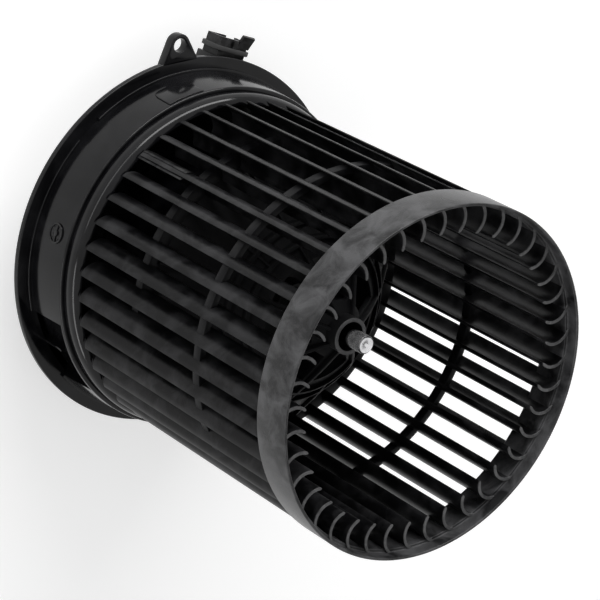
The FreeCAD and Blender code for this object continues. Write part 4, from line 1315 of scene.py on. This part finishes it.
@dataclass
class Studio:
    """Pale floor, soft lamps and the camera at the photograph's angle."""

    lens: float = 153.5
    sensor: float = 36.0
    far: float = 20.0
    place: Triple = (-0.5934, 0.4407, 0.8869)
    right: Triple = (0.7965, 0.0165, 0.6044)
    up: Triple = (0.2359, 0.9120, -0.3357)
    floor_size: float = 6.0
    floor_depth: float = 20.0
    floor_lift: float = 0.36
    floor_shade: float = 0.86
    sky_light: float = 0.4
    aim: Triple = (0.0, 0.0, 0.1)

    def camera(self) -> None:
        """Place the camera that the photograph was fitted with."""
        data = bpy.data.cameras.new("camera")
        data.lens = self.lens
        data.sensor_width = self.sensor
        data.clip_end = self.far
        eye = bpy.data.objects.new("camera", data)
        right = Vector(self.right).normalized()
        up = Vector(self.up)
        back = right.cross(up).normalized()
        up = back.cross(right)
        turn = Matrix((right, up, back)).transposed().to_4x4()
        eye.matrix_world = Matrix.Translation(self.place) @ turn
        bpy.context.scene.collection.objects.link(eye)
        bpy.context.scene.camera = eye

    def lamp(self, name: str, place: Triple, size: Point, power: float) -> None:
        """Add a soft lamp that points at the object.

        Args:
            name: Name of the lamp.
            place: Its place in metres.
            size: Width and height of its face.
            power: Its power in watts.
        """
        data = bpy.data.lights.new(name, "AREA")
        data.shape = "RECTANGLE"
        data.size, data.size_y = size
        data.energy = power
        lamp = bpy.data.objects.new(name, data)
        aim = Vector(self.aim) - Vector(place)
        lamp.rotation_euler = aim.to_track_quat("-Z", "Y").to_euler()
        lamp.location = place
        bpy.context.scene.collection.objects.link(lamp)

    def pale(self, name: str, shade: float) -> bpy.types.Material:
        """Pale paint, with some light of its own for the camera and for reflections.

        Args:
            name: Name of the material.
            shade: Lightness of the paint.

        Returns:
            The material.
        """
        made = bpy.data.materials.new(name)
        made.use_nodes = True
        tree = made.node_tree
        paint = set_inputs(tree.nodes["Principled BSDF"], {
            "Base Color": (shade, shade, shade, 1.0), "Roughness": 0.9, "Emission Color": WHITE})
        lift = math_of(tree, "MULTIPLY", seen_directly(tree), self.floor_lift)
        tree.links.new(lift, paint.inputs["Emission Strength"])
        grain = set_inputs(tree.nodes.new("ShaderNodeTexNoise"), {"Scale": 400.0})
        bump = set_inputs(tree.nodes.new("ShaderNodeBump"), {"Strength": 0.02})
        tree.links.new(grain.outputs["Fac"], bump.inputs["Height"])
        tree.links.new(bump.outputs["Normal"], paint.inputs["Normal"])
        return made

    def world(self) -> None:
        """White where the camera or a reflection sees it, softer as light."""
        world = bpy.data.worlds.new("studio")
        bpy.context.scene.world = world
        world.use_nodes = True
        tree = world.node_tree
        sky = set_inputs(tree.nodes["Background"], {"Color": WHITE})
        power = set_inputs(tree.nodes.new("ShaderNodeMapRange"), {"To Min": self.sky_light, "To Max": 1.0})
        tree.links.new(seen_directly(tree), power.inputs["Value"])
        tree.links.new(power.outputs["Result"], sky.inputs["Strength"])

    def build(self) -> None:
        """Set up the whole studio."""
        half = self.floor_size / 2 / MM
        floor = block("floor", (-half, half), (-half, half), (-self.floor_depth, 0.0))
        floor.data.materials.append(self.pale("pale floor", self.floor_shade))
        floor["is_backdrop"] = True
        self.world()
        self.lamp("top strip", (0.35, 1.9, 0.75), (2.2, 0.55), 46.0)
        self.lamp("front strip", (-1.45, 1.35, 0.75), (1.8, 0.3), 8.0)
        self.lamp("left strip", (-1.75, -0.95, 0.62), (2.0, 0.4), 18.0)
        self.camera()
        bpy.context.scene.view_settings.view_transform = "Standard"


def corners() -> list[list[float]]:
    """Lowest and highest corner of what shows, as plain numbers."""
    return [[float(value) for value in corner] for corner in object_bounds()]


def main() -> None:
    """Build the blower piece by piece."""
    logging.basicConfig(level=logging.INFO, format="%(message)s")
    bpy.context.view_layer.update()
    FanWheel().build()
    Shaft().build()
    Flange().build()
    CadPieces().build()
    Studio().build()


if __name__ == "__main__":
    main()
